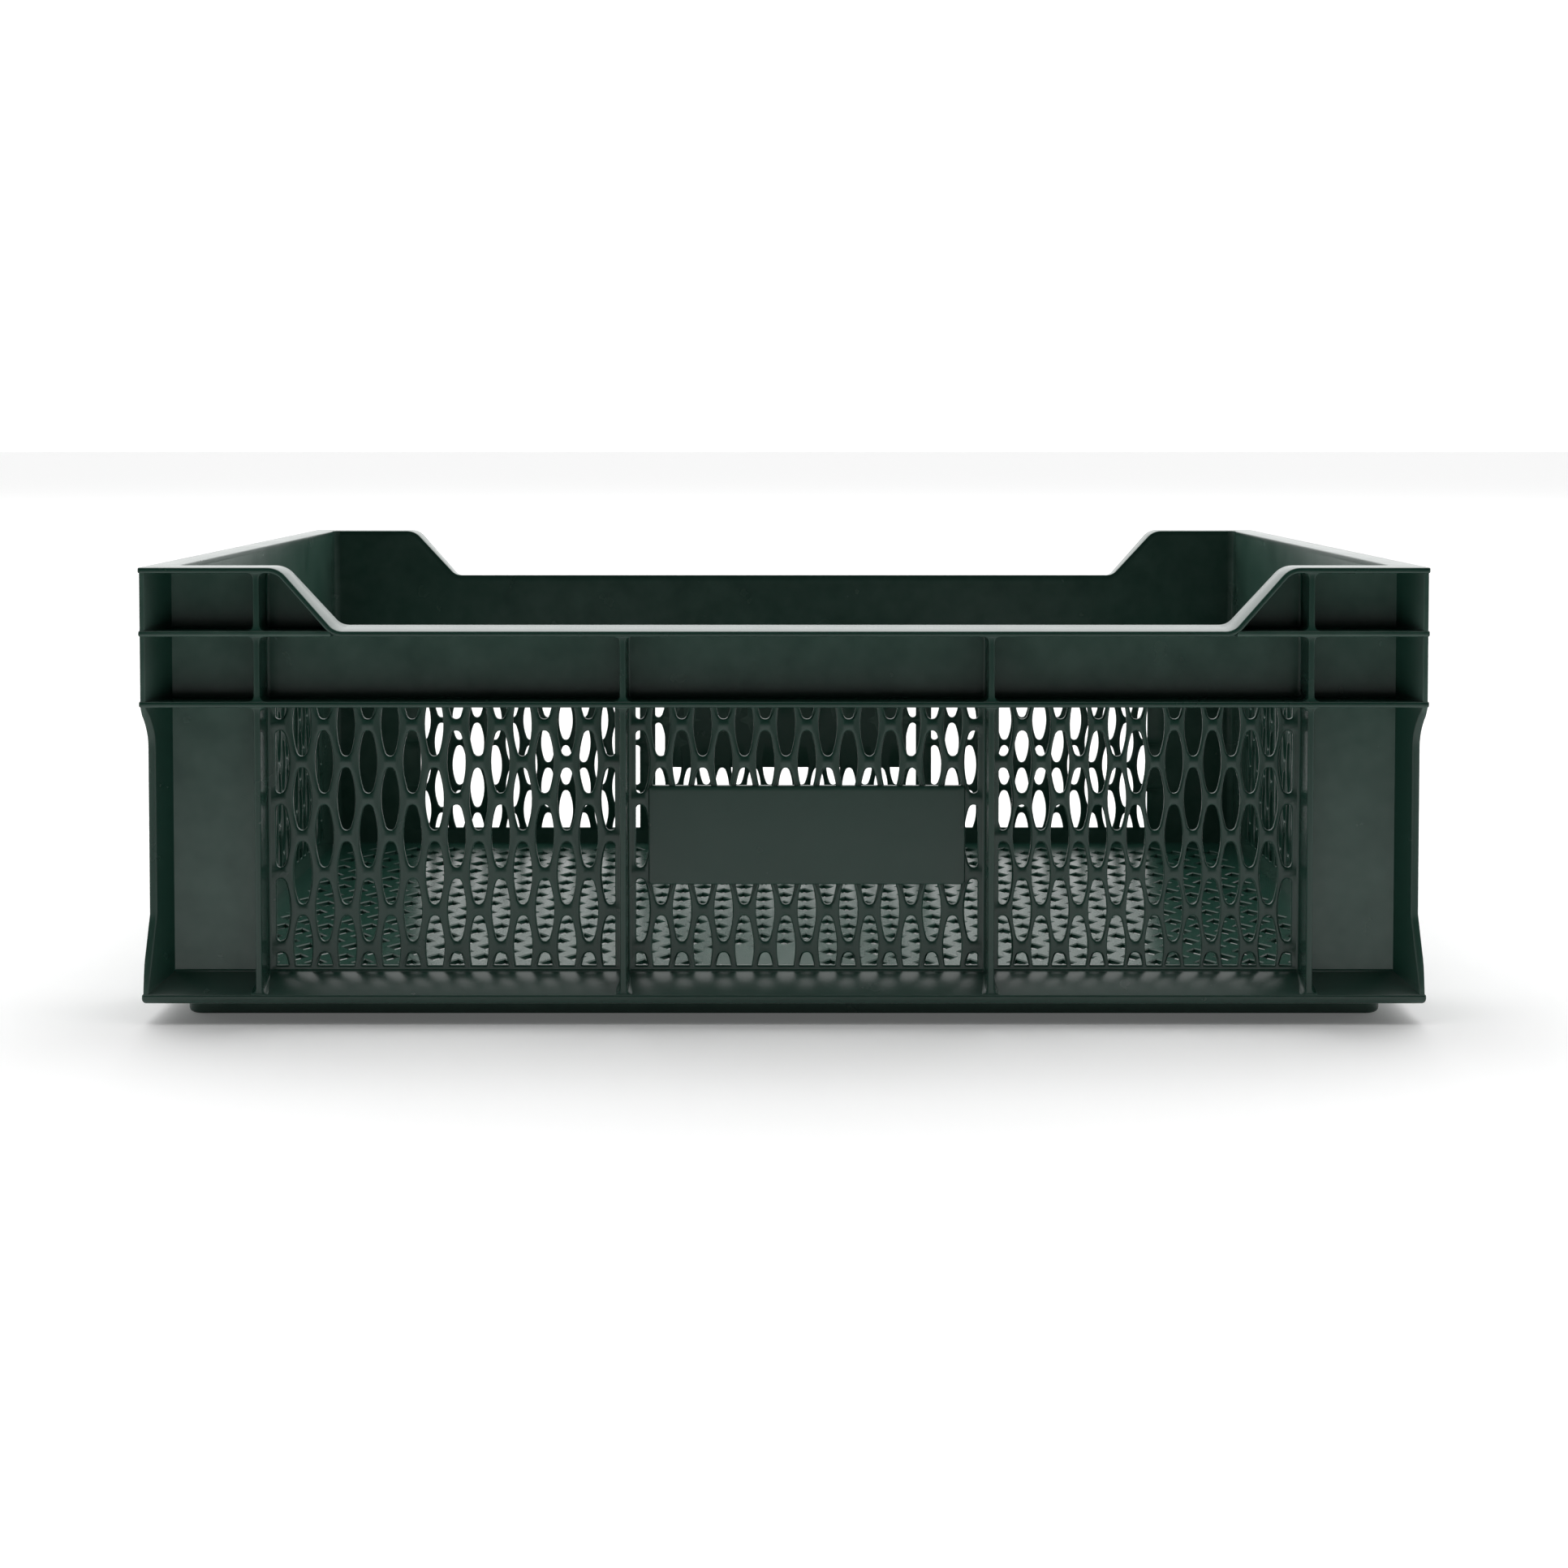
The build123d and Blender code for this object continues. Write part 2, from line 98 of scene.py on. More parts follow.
label_face = -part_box("front_label_plate")[0].y
collar_low, collar_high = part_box("right_handle_collar")
rim_thick = top - rim_low
notch_top = notch_low + rim_thick
lip_top = slope_top - 6.8 * MM
rib_half = 1.45 * MM
print("walls at", round(wall_x, 4), round(wall_y, 4), "rings at", round(lower_low, 4), round(middle_low, 4))

# %% [markdown]
# ## Four sides, one drawing
# Each side is drawn as it is seen from outside: u to the right, v up and w outwards from the
# middle of the crate. One table turns that into the crate's own X, Y and Z, so a rib or a
# lattice is written once and used on all four sides.

# %% Turn a side's own directions into the crate's
SIDES = ("front", "right", "rear", "left")
RIGHTWARDS = {"front": (1, 0), "right": (0, 1), "rear": (-1, 0), "left": (0, -1)}
OUTWARDS = {"front": (0, -1), "right": (1, 0), "rear": (0, 1), "left": (-1, 0)}
REACH = {"front": half_y, "rear": half_y, "left": half_x, "right": half_x}
FACE = {"front": wall_y, "rear": wall_y, "left": wall_x, "right": wall_x}
INNER = {"front": inner_y, "rear": inner_y, "left": inner_x, "right": inner_x}


def place(side, u, v, w):
    """Points of a side, from its own u, v and w: u times rightwards plus w times outwards."""
    u, v, w = np.broadcast_arrays(np.asarray(u, float), v, w)
    right, out = RIGHTWARDS[side], OUTWARDS[side]
    return np.stack([u * right[0] + w * out[0], u * right[1] + w * out[1], v], axis=-1)


# %% [markdown]
# ## From arrays to a mesh
# A surface here is a grid of points and a list of four-cornered faces. A three-cornered face
# repeats its last corner. Before the mesh is made, points that fall together are joined and
# faces that shrink to nothing are dropped, so that poles and cut corners close cleanly. Each
# shell's volume is then worked out with its sign, and a shell that came out inside out is
# turned. That is more certain than a guess at the order of the corners.

# %% Grids, tubes and shells
def grid_faces(rows, cols, close_rows=False, close_cols=False):
    """Faces of a grid of rows by cols points, joined round where asked."""
    r = np.arange(rows if close_rows else rows - 1)
    c = np.arange(cols if close_cols else cols - 1)
    r, c = np.meshgrid(r, c, indexing="ij")
    r2, c2 = (r + 1) % rows, (c + 1) % cols
    return np.stack([r * cols + c, r * cols + c2, r2 * cols + c2, r2 * cols + c], -1).reshape(-1, 4)


def outward(points, faces):
    """The faces, turned over if the sum of signed tetrahedra says the shell is inside out."""
    a, b, c, d = (points[faces[:, k]] for k in range(4))
    volume = (np.cross(a, b) * c).sum() + (np.cross(a, c) * d).sum()
    return faces if volume > 0 else faces[:, ::-1]


def tube(rings, loop=False):
    """A closed shell from rings of points (stations, round, 3): ends meet, or get caps."""
    stations, around = rings.shape[:2]
    points = rings.reshape(-1, 3)
    faces = grid_faces(stations, around, close_rows=loop, close_cols=True)
    if not loop:
        k = np.arange(around)
        k2 = (k + 1) % around
        last = (stations - 1) * around
        middle = [len(points), len(points) + 1]
        points = np.vstack([points, rings[0].mean(0), rings[-1].mean(0)])
        start = np.stack([np.full(around, middle[0]), k2, k, k], -1)
        end = np.stack([np.full(around, middle[1]), last + k, last + k2, last + k2], -1)
        faces = np.vstack([faces, start, end])
    return points, outward(points, faces)


def weld(points, faces, near=1e-6):
    """Joins points that round to the same place; returns points, quads and triangles."""
    keys = np.round(points / near).astype(np.int64)
    _, first, home = np.unique(keys, axis=0, return_index=True, return_inverse=True)
    faces = home.reshape(-1)[faces]
    same = faces == np.roll(faces, -1, axis=1)
    crossed = (faces[:, 0] == faces[:, 2]) | (faces[:, 1] == faces[:, 3])
    quads = faces[(same.sum(1) == 0) & ~crossed]
    thin = (same.sum(1) == 1) & ~crossed
    keep = np.array([[1, 2, 3], [0, 2, 3], [0, 1, 3], [0, 1, 2]])[same[thin].argmax(1)]
    return points[first], quads, np.take_along_axis(faces[thin], keep, axis=1)


def make_piece(name, shells, stands_for, crease=38):
    """One object from shells of (points, faces), smooth but for edges over crease degrees."""
    count, all_points, all_quads, all_tris = 0, [], [], []
    for points, faces in shells:
        points, quads, tris = weld(points, faces)
        all_points.append(points)
        all_quads.append(quads + count)
        all_tris.append(tris + count)
        count += len(points)
    mesh = bpy.data.meshes.new(name)
    faces = [f for rows in all_quads + all_tris for f in rows.tolist()]
    mesh.from_pydata(np.vstack(all_points), [], faces)
    mesh.validate()
    mesh.shade_smooth()
    mesh.set_sharp_from_angle(angle=math.radians(crease))
    piece = bpy.data.objects.new(name, mesh)
    bpy.context.scene.collection.objects.link(piece)
    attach(piece, "root")
    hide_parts(*stands_for)
    print(name, len(mesh.polygons), "faces")
    return piece


# %% [markdown]
# ## The camera and the light
# The camera stands a metre in front of the crate, a little over its rim, and looks almost
# level, so the rim is seen as a thin bright line. The lens is shifted down, which keeps the
# upright edges upright. The light is a plain room: a pale floor, a surround that is white
# behind the crate and dark in front of it, and two soft lamps. The floor fades to grey in front
# as well, so that the faces towards the camera mirror little light and keep their deep colour.

# %% Place the camera
camera_height = top + 62.95 * MM
camera_distance = 1026.1 * MM
camera_data = bpy.data.cameras.new("camera")
camera_data.sensor_width = 36.0
camera_data.lens = 50.90
camera_data.shift_y = -0.1743
camera = bpy.data.objects.new("camera", camera_data)
camera.location = (0.0, -half_y - camera_distance, camera_height)
camera.rotation_euler = (math.radians(90 - 2.037), 0.0, 0.0)
bpy.context.scene.collection.objects.link(camera)
bpy.context.scene.camera = camera
print("camera at", [round(v, 3) for v in camera.location])

# %% Light the room
def lamp(name, place_at, aim_at, size, power):
    """A soft square lamp at one point, aimed at another."""
    data = bpy.data.lights.new(name, "AREA")
    data.shape = "RECTANGLE"
    data.size, data.size_y = size
    data.energy = power
    lamp_object = bpy.data.objects.new(name, data)
    lamp_object.location = place_at
    aim = Vector(aim_at) - Vector(place_at)
    lamp_object.rotation_euler = aim.to_track_quat("-Z", "Y").to_euler()
    bpy.context.scene.collection.objects.link(lamp_object)
    return lamp_object


lamp("lamp_over", (0.0, 0.1, 1.7), (0.0, 0.1, 0.0), (2.2, 1.4), 12.5)
lamp("lamp_back", (0.0, 4.0, 2.5), (0.0, 4.0, 0.0), (8.0, 5.0), 70.0)

scene = bpy.context.scene
scene.view_settings.view_transform = "Standard"
scene.world = bpy.data.worlds.new("white_room")
scene.world.use_nodes = True
nodes, links = scene.world.node_tree.nodes, scene.world.node_tree.links
nodes.clear()
direction = nodes.new("ShaderNodeTexCoord")
parts = nodes.new("ShaderNodeSeparateXYZ")
depth = nodes.new("ShaderNodeMapRange")
depth.interpolation_type = "SMOOTHSTEP"
depth.inputs["From Min"].default_value = -0.55
depth.inputs["From Max"].default_value = 0.45
depth.inputs["To Min"].default_value = 0.02
depth.inputs["To Max"].default_value = 2.0
room = nodes.new("ShaderNodeBackground")
output = nodes.new("ShaderNodeOutputWorld")
links.new(direction.outputs["Generated"], parts.inputs["Vector"])
links.new(parts.outputs["Y"], depth.inputs["Value"])
links.new(depth.outputs["Result"], room.inputs["Strength"])
links.new(room.outputs["Background"], output.inputs["Surface"])

# %% Lay the floor
floor_side = 30.0
fade_from, fade_to = -0.55, -1.6
# the last value is a painted glow: light the floor gives out of its own, though it is no lamp
white_paper, grey_paper, painted_floor_glow = 0.95, 0.12, 0.10
floor_mesh = bpy.data.meshes.new("studio_floor")
floor_mesh.from_pydata(
    [(x * floor_side, y * floor_side, 0.0) for x, y in ((-1, -1), (1, -1), (1, 1), (-1, 1))],
    [],
    [(0, 1, 2, 3)],
)
studio_floor = bpy.data.objects.new("studio_floor", floor_mesh)
scene.collection.objects.link(studio_floor)
studio_floor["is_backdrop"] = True
paper = bpy.data.materials.new("pale_paper")
paper.use_nodes = True
paper_shader = paper.node_tree.nodes["Principled BSDF"]
paper_shader.inputs["Roughness"].default_value = 0.9
paper_shader.inputs["Specular IOR Level"].default_value = 0.1
paper_nodes, paper_links = paper.node_tree.nodes, paper.node_tree.links
across = paper_nodes.new("ShaderNodeTexCoord")
along = paper_nodes.new("ShaderNodeSeparateXYZ")
fade = paper_nodes.new("ShaderNodeMapRange")
fade.interpolation_type = "SMOOTHSTEP"
fade.inputs["From Min"].default_value = fade_to
fade.inputs["From Max"].default_value = fade_from
fade.inputs["To Min"].default_value = grey_paper
fade.inputs["To Max"].default_value = white_paper
paper_links.new(across.outputs["Object"], along.inputs["Vector"])
paper_links.new(along.outputs["Y"], fade.inputs["Value"])
paper_links.new(fade.outputs["Result"], paper_shader.inputs["Base Color"])
# Painted glow: the floor emits a little light of its own, more where it is white, though it is no lamp.
painted_glow = paper_nodes.new("ShaderNodeMath")
painted_glow.operation = "MULTIPLY"
painted_glow.inputs[1].default_value = painted_floor_glow
paper_shader.inputs["Emission Color"].default_value = (1.0, 1.0, 1.0, 1.0)
paper_links.new(fade.outputs["Result"], painted_glow.inputs[0])
paper_links.new(painted_glow.outputs["Value"], paper_shader.inputs["Emission Strength"])
floor_mesh.materials.append(paper)

# %% [markdown]
# ## The plastic
# Crates like this are moulded in polyethylene, coloured all through. It has a low sheen that
# is a little uneven, a grain finer than a millimetre from the spark-cut mould, faint flow
# marks, and a painted highlight that makes its convex edges paler. Three small node groups
# make those effects, and one material puts them together.

# %% Node group helper
def new_group(name, inputs, outputs):
    """An empty shader group with named float inputs (name, default) and outputs."""
    group = bpy.data.node_groups.new(name, "ShaderNodeTree")
    for label, default in inputs:
        socket = group.interface.new_socket(label, in_out="INPUT", socket_type="NodeSocketFloat")
        socket.default_value = default
    for label in outputs:
        group.interface.new_socket(label, in_out="OUTPUT", socket_type="NodeSocketFloat")
    enter = group.nodes.new("NodeGroupInput")
    leave = group.nodes.new("NodeGroupOutput")
    return group, enter, leave


# %% Grain: how high the mould's fine texture stands
def grain_group():
    """Height of the surface: fine cellular noise, plus slow waves from uneven cooling."""
    group, enter, leave = new_group(
        "mould_grain", [("Grain Scale", 1400.0), ("Wave Scale", 26.0), ("Wave Share", 0.6)], ["Height"]
    )
    n, l = group.nodes, group.links
    where = n.new("ShaderNodeTexCoord")
    fine = n.new("ShaderNodeTexNoise")
    fine.inputs["Detail"].default_value = 3.0
    slow = n.new("ShaderNodeTexNoise")
    slow.inputs["Detail"].default_value = 2.0
    blend = n.new("ShaderNodeMix")
    l.new(where.outputs["Object"], fine.inputs["Vector"])
    l.new(where.outputs["Object"], slow.inputs["Vector"])
    l.new(enter.outputs["Grain Scale"], fine.inputs["Scale"])
    l.new(enter.outputs["Wave Scale"], slow.inputs["Scale"])
    l.new(enter.outputs["Wave Share"], blend.inputs["Factor"])
    l.new(fine.outputs["Fac"], blend.inputs["A"])
    l.new(slow.outputs["Fac"], blend.inputs["B"])
    l.new(blend.outputs["Result"], leave.inputs["Height"])
    return group


# %% Painted highlight on edges: where the surface turns outwards
def highlight_edge_group():
    """Mask of convex edges for a painted highlight: pointiness above a threshold, broken up by noise."""
    group, enter, leave = new_group("painted_edge_highlight", [("Threshold", 0.53), ("Width", 0.06)], ["Mask"])
    n, l = group.nodes, group.links
    shape = n.new("ShaderNodeNewGeometry")
    end = n.new("ShaderNodeMath")
    end.operation = "ADD"
    ramp = n.new("ShaderNodeMapRange")
    ramp.interpolation_type = "SMOOTHSTEP"
    where = n.new("ShaderNodeTexCoord")
    patchy = n.new("ShaderNodeTexNoise")
    patchy.inputs["Scale"].default_value = 55.0
    both = n.new("ShaderNodeMath")
    both.operation = "MULTIPLY"
    l.new(enter.outputs["Threshold"], end.inputs[0])
    l.new(enter.outputs["Width"], end.inputs[1])
    l.new(shape.outputs["Pointiness"], ramp.inputs["Value"])
    l.new(enter.outputs["Threshold"], ramp.inputs["From Min"])
    l.new(end.outputs["Value"], ramp.inputs["From Max"])
    l.new(where.outputs["Object"], patchy.inputs["Vector"])
    l.new(ramp.outputs["Result"], both.inputs[0])
    l.new(patchy.outputs["Fac"], both.inputs[1])
    l.new(both.outputs["Value"], leave.inputs["Mask"])
    return group


# %% Mottle: slow differences in colour and sheen
def mottle_group():
    """Two slow noises, one for colour and one for sheen, each about 0 to 1."""
    group, enter, leave = new_group("mottle", [("Scale", 18.0)], ["Colour", "Sheen"])
    n, l = group.nodes, group.links
    where = n.new("ShaderNodeTexCoord")
    double = n.new("ShaderNodeMath")
    double.operation = "MULTIPLY"
    double.inputs[1].default_value = 2.7
    colour = n.new("ShaderNodeTexNoise")
    colour.inputs["Detail"].default_value = 4.0
    sheen = n.new("ShaderNodeTexNoise")
    sheen.inputs["Detail"].default_value = 5.0
    l.new(where.outputs["Object"], colour.inputs["Vector"])
    l.new(where.outputs["Object"], sheen.inputs["Vector"])
    l.new(enter.outputs["Scale"], colour.inputs["Scale"])
    l.new(enter.outputs["Scale"], double.inputs[0])
    l.new(double.outputs["Value"], sheen.inputs["Scale"])
    l.new(colour.outputs["Fac"], leave.inputs["Colour"])
    l.new(sheen.outputs["Fac"], leave.inputs["Sheen"])
    return group


GRAIN, HIGHLIGHT_EDGES, MOTTLE = grain_group(), highlight_edge_group(), mottle_group()


# %% Green plastic
def plastic(name, deep, pale, painted_highlight, roughness):
    """Moulded plastic between two close shades, with a painted highlight on edges, grain and soft waves."""
    material = bpy.data.materials.new(name)
    material.use_nodes = True
    n, l = material.node_tree.nodes, material.node_tree.links
    shader = n["Principled BSDF"]
    shader.inputs["IOR"].default_value = 1.52
    shader.inputs["Specular IOR Level"].default_value = 0.42
    grain, highlight_mask, mottle = (n.new("ShaderNodeGroup") for _ in range(3))
    grain.node_tree, highlight_mask.node_tree, mottle.node_tree = GRAIN, HIGHLIGHT_EDGES, MOTTLE
    shade = n.new("ShaderNodeMix")
    shade.data_type = "RGBA"
    shade.inputs["A"].default_value = (*deep, 1.0)
    shade.inputs["B"].default_value = (*pale, 1.0)
    # Painted highlight: convex edges are mixed towards a pale green that stands for the light their rounds
    # catch.
    highlit = n.new("ShaderNodeMix")
    highlit.data_type = "RGBA"
    highlit.inputs["B"].default_value = (*painted_highlight, 1.0)
    gloss = n.new("ShaderNodeMapRange")
    gloss.inputs["To Min"].default_value = roughness[0]
    gloss.inputs["To Max"].default_value = roughness[1]
    bump = n.new("ShaderNodeBump")
    bump.inputs["Strength"].default_value = 0.15
    bump.inputs["Distance"].default_value = 0.00002
    l.new(mottle.outputs["Colour"], shade.inputs["Factor"])
    l.new(shade.outputs["Result"], highlit.inputs["A"])
    l.new(highlight_mask.outputs["Mask"], highlit.inputs["Factor"])
    l.new(highlit.outputs["Result"], shader.inputs["Base Color"])
    l.new(mottle.outputs["Sheen"], gloss.inputs["Value"])
    l.new(gloss.outputs["Result"], shader.inputs["Roughness"])
    l.new(grain.outputs["Height"], bump.inputs["Height"])
    l.new(bump.outputs["Normal"], shader.inputs["Normal"])
    return material


green = plastic(
    "green_plastic",
    deep=(0.0095, 0.043, 0.0300),
    pale=(0.0115, 0.049, 0.0345),
    # the pale colour of the painted highlight on convex edges
    painted_highlight=(0.060, 0.115, 0.092),
    roughness=(0.22, 0.30),
)

# %% [markdown]
# ## Two rails and a section
# The rim, the rings, the flange and the foot all run round the crate between an outer and an
# inner line. On the long sides that gap is wider than on the ends, so a section of fixed
# width would not fit both. Instead each station of the path has an outer point and an inner
# point, and the section says where it lies between them, plus a distance in millimetres from
# either line, so that the radii stay round.

# %% Rails round the crate
CORNER_STEPS = 5


def rails(outer, inner, outer_radius, inner_radius, stations=None):
    """Matched points on two rounded rectangles, going round front, right, rear and left.

    outer and inner are half sizes (x, y). On a straight the two points share their u. On a
    corner both lines turn through the same angle, each about its own centre.
    """
    lines = []
    for side in SIDES:
        along, away = (0, 1) if side in ("front", "rear") else (1, 0)
        u = np.array([-1.0, 1.0]) if stations is None or side not in stations else stations[side]
        limit = outer[along] - outer_radius
        u = np.clip(u if np.abs(u).max() < 1 else u * limit, -limit, limit)
        inner_limit = inner[along] - inner_radius
        turn = np.radians(np.linspace(0, 90, CORNER_STEPS + 2)[1:-1])
        pairs = []
        for size, radius, line in (
            (outer, outer_radius, u),
            (inner, inner_radius, np.clip(u, -inner_limit, inner_limit)),
        ):
            if line is u:
                straight = u
            else:
                straight = line.copy()
                straight[0], straight[-1] = -inner_limit, inner_limit
            round_u = size[along] - radius + radius * np.sin(turn)
            round_w = size[away] - radius + radius * np.cos(turn)
            pairs.append(
                np.vstack(
                    [
                        place(side, straight, 0.0, size[away]),
                        place(side, round_u, 0.0, round_w),
                    ]
                )
            )
        lines.append(pairs)
    return np.vstack([p[0] for p in lines]), np.vstack([p[1] for p in lines])


def between(outer, inner, section, up=None):
    """A section carried between two rails.

    A section point (share, step, height) lies at outer + share * (inner - outer), then step
    further towards the inner rail, then height along the station's own upward direction.
    """
    across = inner - outer
    towards = across / np.linalg.norm(across, axis=1, keepdims=True)
    rise = np.tile([0.0, 0.0, 1.0], (len(outer), 1)) if up is None else up
    share, step, height = (np.array(column)[None, :, None] for column in zip(*section))
    return (
        outer[:, None]
        + share * across[:, None]
        + step * towards[:, None]
        + height * rise[:, None]
    )


def arc(share, step, height, radius, start, stop, count=4):
    """Section points on a circle: step and height are its centre, angles are in degrees.

    Angle 0 points towards the outer rail and 90 points up.
    """
    angles = np.radians(np.linspace(start, stop, count))
    return [(share, step - radius * math.cos(a), height + radius * math.sin(a)) for a in angles]


# %% [markdown]
# ## The two rings
# A ring is a shelf that stands out from the wall. Its outer edge is a full soft round, and
# a small fillet runs into the wall above and below. The lower ring goes all the way round.
# The middle one only wraps the corners: it runs into the rim at the notch, and it stops at
# the rib beside the hand-hold.

# %% Ring section and the lower ring
outline_radius = 1.0 * MM
wall_radius = 0.4 * MM


def ring_section(low, high, edge=0.9 * MM, root=1.1 * MM, sunk=1.0 * MM):
    """Section of a ring: two edge rounds outside, and two root fillets against the wall."""
    return (
        arc(0, edge, low + edge, edge, -90, 0)
        + arc(0, edge, high - edge, edge, 0, 90)
        + arc(1, -root, high + root, root, 270, 180)
        + [(1, sunk, high + root), (1, sunk, low - root)]
        + arc(1, -root, low - root, root, 180, 90)
    )


outer_line, wall_line = rails((half_x, half_y), (wall_x, wall_y), outline_radius, wall_radius)
make_piece(
    "lower_ring",
    [tube(between(outer_line, wall_line, ring_section(lower_low, lower_top)), loop=True)],
    [f"{side}_lower_ring" for side in SIDES],
)

# %% Middle ring, one length round each corner
handle_rib = 62.0 * MM
ring_edge = handle_rib + rib_half
ring_start = notch_foot + 0.6 * MM
CORNERS = (("front_left", -1, -1), ("front_right", 1, -1), ("rear_right", 1, 1), ("rear_left", -1, 1))


def corner_run(line, sign_x, sign_y):
    """The stations of a rail in one corner, with an end added on the long side and the end."""
    inside = (line[:, 0] * sign_x > 0) & (line[:, 1] * sign_y > 0)
    start = int(np.argmax(inside & ~np.roll(inside, 1)))
    run = line[(start + np.arange(inside.sum())) % len(line)]
    from_long = sign_x * sign_y < 0
    on_long, on_end = (0, -1) if from_long else (-1, 0)
    long_point = (sign_x * ring_start, run[on_long][1], 0.0)
    end_point = (run[on_end][0], sign_y * ring_edge, 0.0)
    first, last = (long_point, end_point) if from_long else (end_point, long_point)
    return np.vstack([first, run, last])


for corner, sign_x, sign_y in CORNERS:
    runs = [corner_run(line, sign_x, sign_y) for line in (outer_line, wall_line)]
    make_piece(
        f"{corner}_middle_ring_edge",
        [tube(between(*runs, ring_section(middle_low, middle_top)))],
        [f"{corner}_middle_ring"],
    )

# %% [markdown]
# ## The rim and its notch
# The rim is a flat lip from the inner face of the wall out to the outline. On the long sides
# it dips into a wide notch: a straight slope with a large radius at its crest and a smaller
# one at its foot. The lip keeps its thickness on the slope, so each station carries its own
# upward direction, square to the path. In the notch the lip also leans a little outwards, so
# that goods slide over it.

# %% Path of the notch
crest_radius, notch_foot_radius = 11.0 * MM, 8.0 * MM
notch_run = 25.9 * MM
slope = math.atan2(top - notch_top, notch_run)
notch_in = notch_foot - rim_thick * math.tan(slope / 2)
notch_out = notch_in + notch_run


def notch_path(steps=7):
    """Half of the rim's top line from the middle out: x, z and the slope at each point."""
    foot_tangent = notch_foot_radius * math.tan(slope / 2)
    crest_tangent = crest_radius * math.tan(slope / 2)
    rising = np.linspace(0, slope, steps)
    falling = np.linspace(slope, 0, steps)
    foot_x_line = notch_in - foot_tangent + notch_foot_radius * np.sin(rising)
    foot_z_line = notch_top + notch_foot_radius * (1 - np.cos(rising))
    crest_x_line = notch_out + crest_tangent - crest_radius * np.sin(falling)
    crest_z_line = top - crest_radius * (1 - np.cos(falling))
    x = np.concatenate([foot_x_line, crest_x_line])
    z = np.concatenate([foot_z_line, crest_z_line])
    return x, z, np.concatenate([rising, falling])


path_x, path_z, path_slope = notch_path()
edge_x = half_x - outline_radius
rim_x = np.concatenate([[-edge_x], -path_x[::-1], path_x, [edge_x]])
rim_z = np.concatenate([[top], path_z[::-1], path_z, [top]])
rim_slope = np.concatenate([[0.0], -path_slope[::-1], path_slope, [0.0]])
print("notch slope", round(math.degrees(slope), 1), "degrees,", len(rim_x), "stations")

# %% The rim
lean = 1.5 * MM


def rim_section(edge=0.7 * MM, inner_edge=0.5 * MM):
    """Section of the lip, from its underside outside, over the top and down the inside."""
    return (
        [(1, 0.0, -rim_thick)]
        + arc(0, edge, edge - rim_thick, edge, -90, 0)
        + arc(0, edge, -edge, edge, 0, 90)
        + arc(1, -inner_edge, -inner_edge, inner_edge, 90, 180)
    )


rim_stations = {"front": rim_x, "rear": rim_x}
rim_outer, rim_inner = rails(
    (half_x, half_y), (inner_x, inner_y), outline_radius, 1.5 * MM, rim_stations
)
rim_up = np.tile([0.0, 0.0, 1.0], (len(rim_outer), 1))
rim_height = np.full(len(rim_outer), top)
on_long = np.abs(np.abs(rim_outer[:, 1]) - half_y) < 1e-7
rim_height[on_long] = np.interp(rim_outer[on_long, 0], rim_x, rim_z)
station_slope = np.interp(rim_outer[:, 0], rim_x, rim_slope) * on_long
rim_up[:, 0] = -np.sin(station_slope)
rim_up[:, 2] = np.cos(station_slope)
rim_outer[:, 2] = rim_inner[:, 2] = rim_height
rim_rings = between(rim_outer, rim_inner, rim_section(), rim_up)
dip = np.clip((top - rim_height) / (top - notch_top), 0, 1)
share_in = np.array([p[0] for p in rim_section()])
over = np.array([p[2] > -rim_thick for p in rim_section()])
inward_share = np.where(over, share_in, 0.0)
rim_rings[:, :, 2] += lean * dip[:, None] * inward_share[None, :]
make_piece("rim", [tube(rim_rings, loop=True)], [f"{side}_rim" for side in SIDES])

# %% [markdown]
# ## Solid walls under the rim
# Between the lower ring and the rim the long walls are plain sheets whose upper edge follows
# the underside of the lip. The end walls have a rounded slot for the hand.

# %% Upper walls of the long sides
def sheet_shell(side, u, low, high, inside, outside):
    """A flat plate whose lower and upper edges are lines over u, closed round its edges."""
    low, high = np.broadcast_to(low, u.shape), np.broadcast_to(high, u.shape)
    corners = [(low, inside), (high, inside), (high, outside), (low, outside)]
    rings = np.stack([place(side, u, v, w) for v, w in corners], axis=1)
    return tube(rings)


under_x = rim_x + rim_thick * np.sin(rim_slope)
under_z = rim_z - rim_thick * np.cos(rim_slope)
within = np.abs(under_x) < long_rib
wall_u = np.concatenate([[-long_rib], under_x[within], [long_rib]])
wall_v = np.concatenate([[rim_low], under_z[within], [rim_low]])
for side in ("front", "rear"):
    make_piece(
        f"{side}_upper_sheet",
        [sheet_shell(side, wall_u, lower_top, wall_v, inner_y, wall_y)],
        [f"{side}_upper_wall", f"{side}_left_shoulder", f"{side}_right_shoulder"],
    )

# %% Upper walls of the ends, with the hand-hold
handle_mid = (collar_low.z + collar_high.z) / 2
collar_thick = 2.5 * MM
handle_u = (collar_high.y - collar_low.y) / 2 - collar_thick
handle_v = (collar_high.z - collar_low.z) / 2 - collar_thick
handle_radius = 12.0 * MM


def rounded_loop(half_u, half_v, radius, steps=7):
    """A rounded rectangle as u, v: four quarter circles, whose ends the sides join."""
    turn = np.radians(np.linspace(0, 90, steps))
    u, v = [], []
    for k, (su, sv) in enumerate(((1, 1), (-1, 1), (-1, -1), (1, -1))):
        angle = turn + k * math.pi / 2
        u.append(su * (half_u - radius) + radius * np.cos(angle))
        v.append(sv * (half_v - radius) + radius * np.sin(angle))
    return np.concatenate(u), np.concatenate(v)


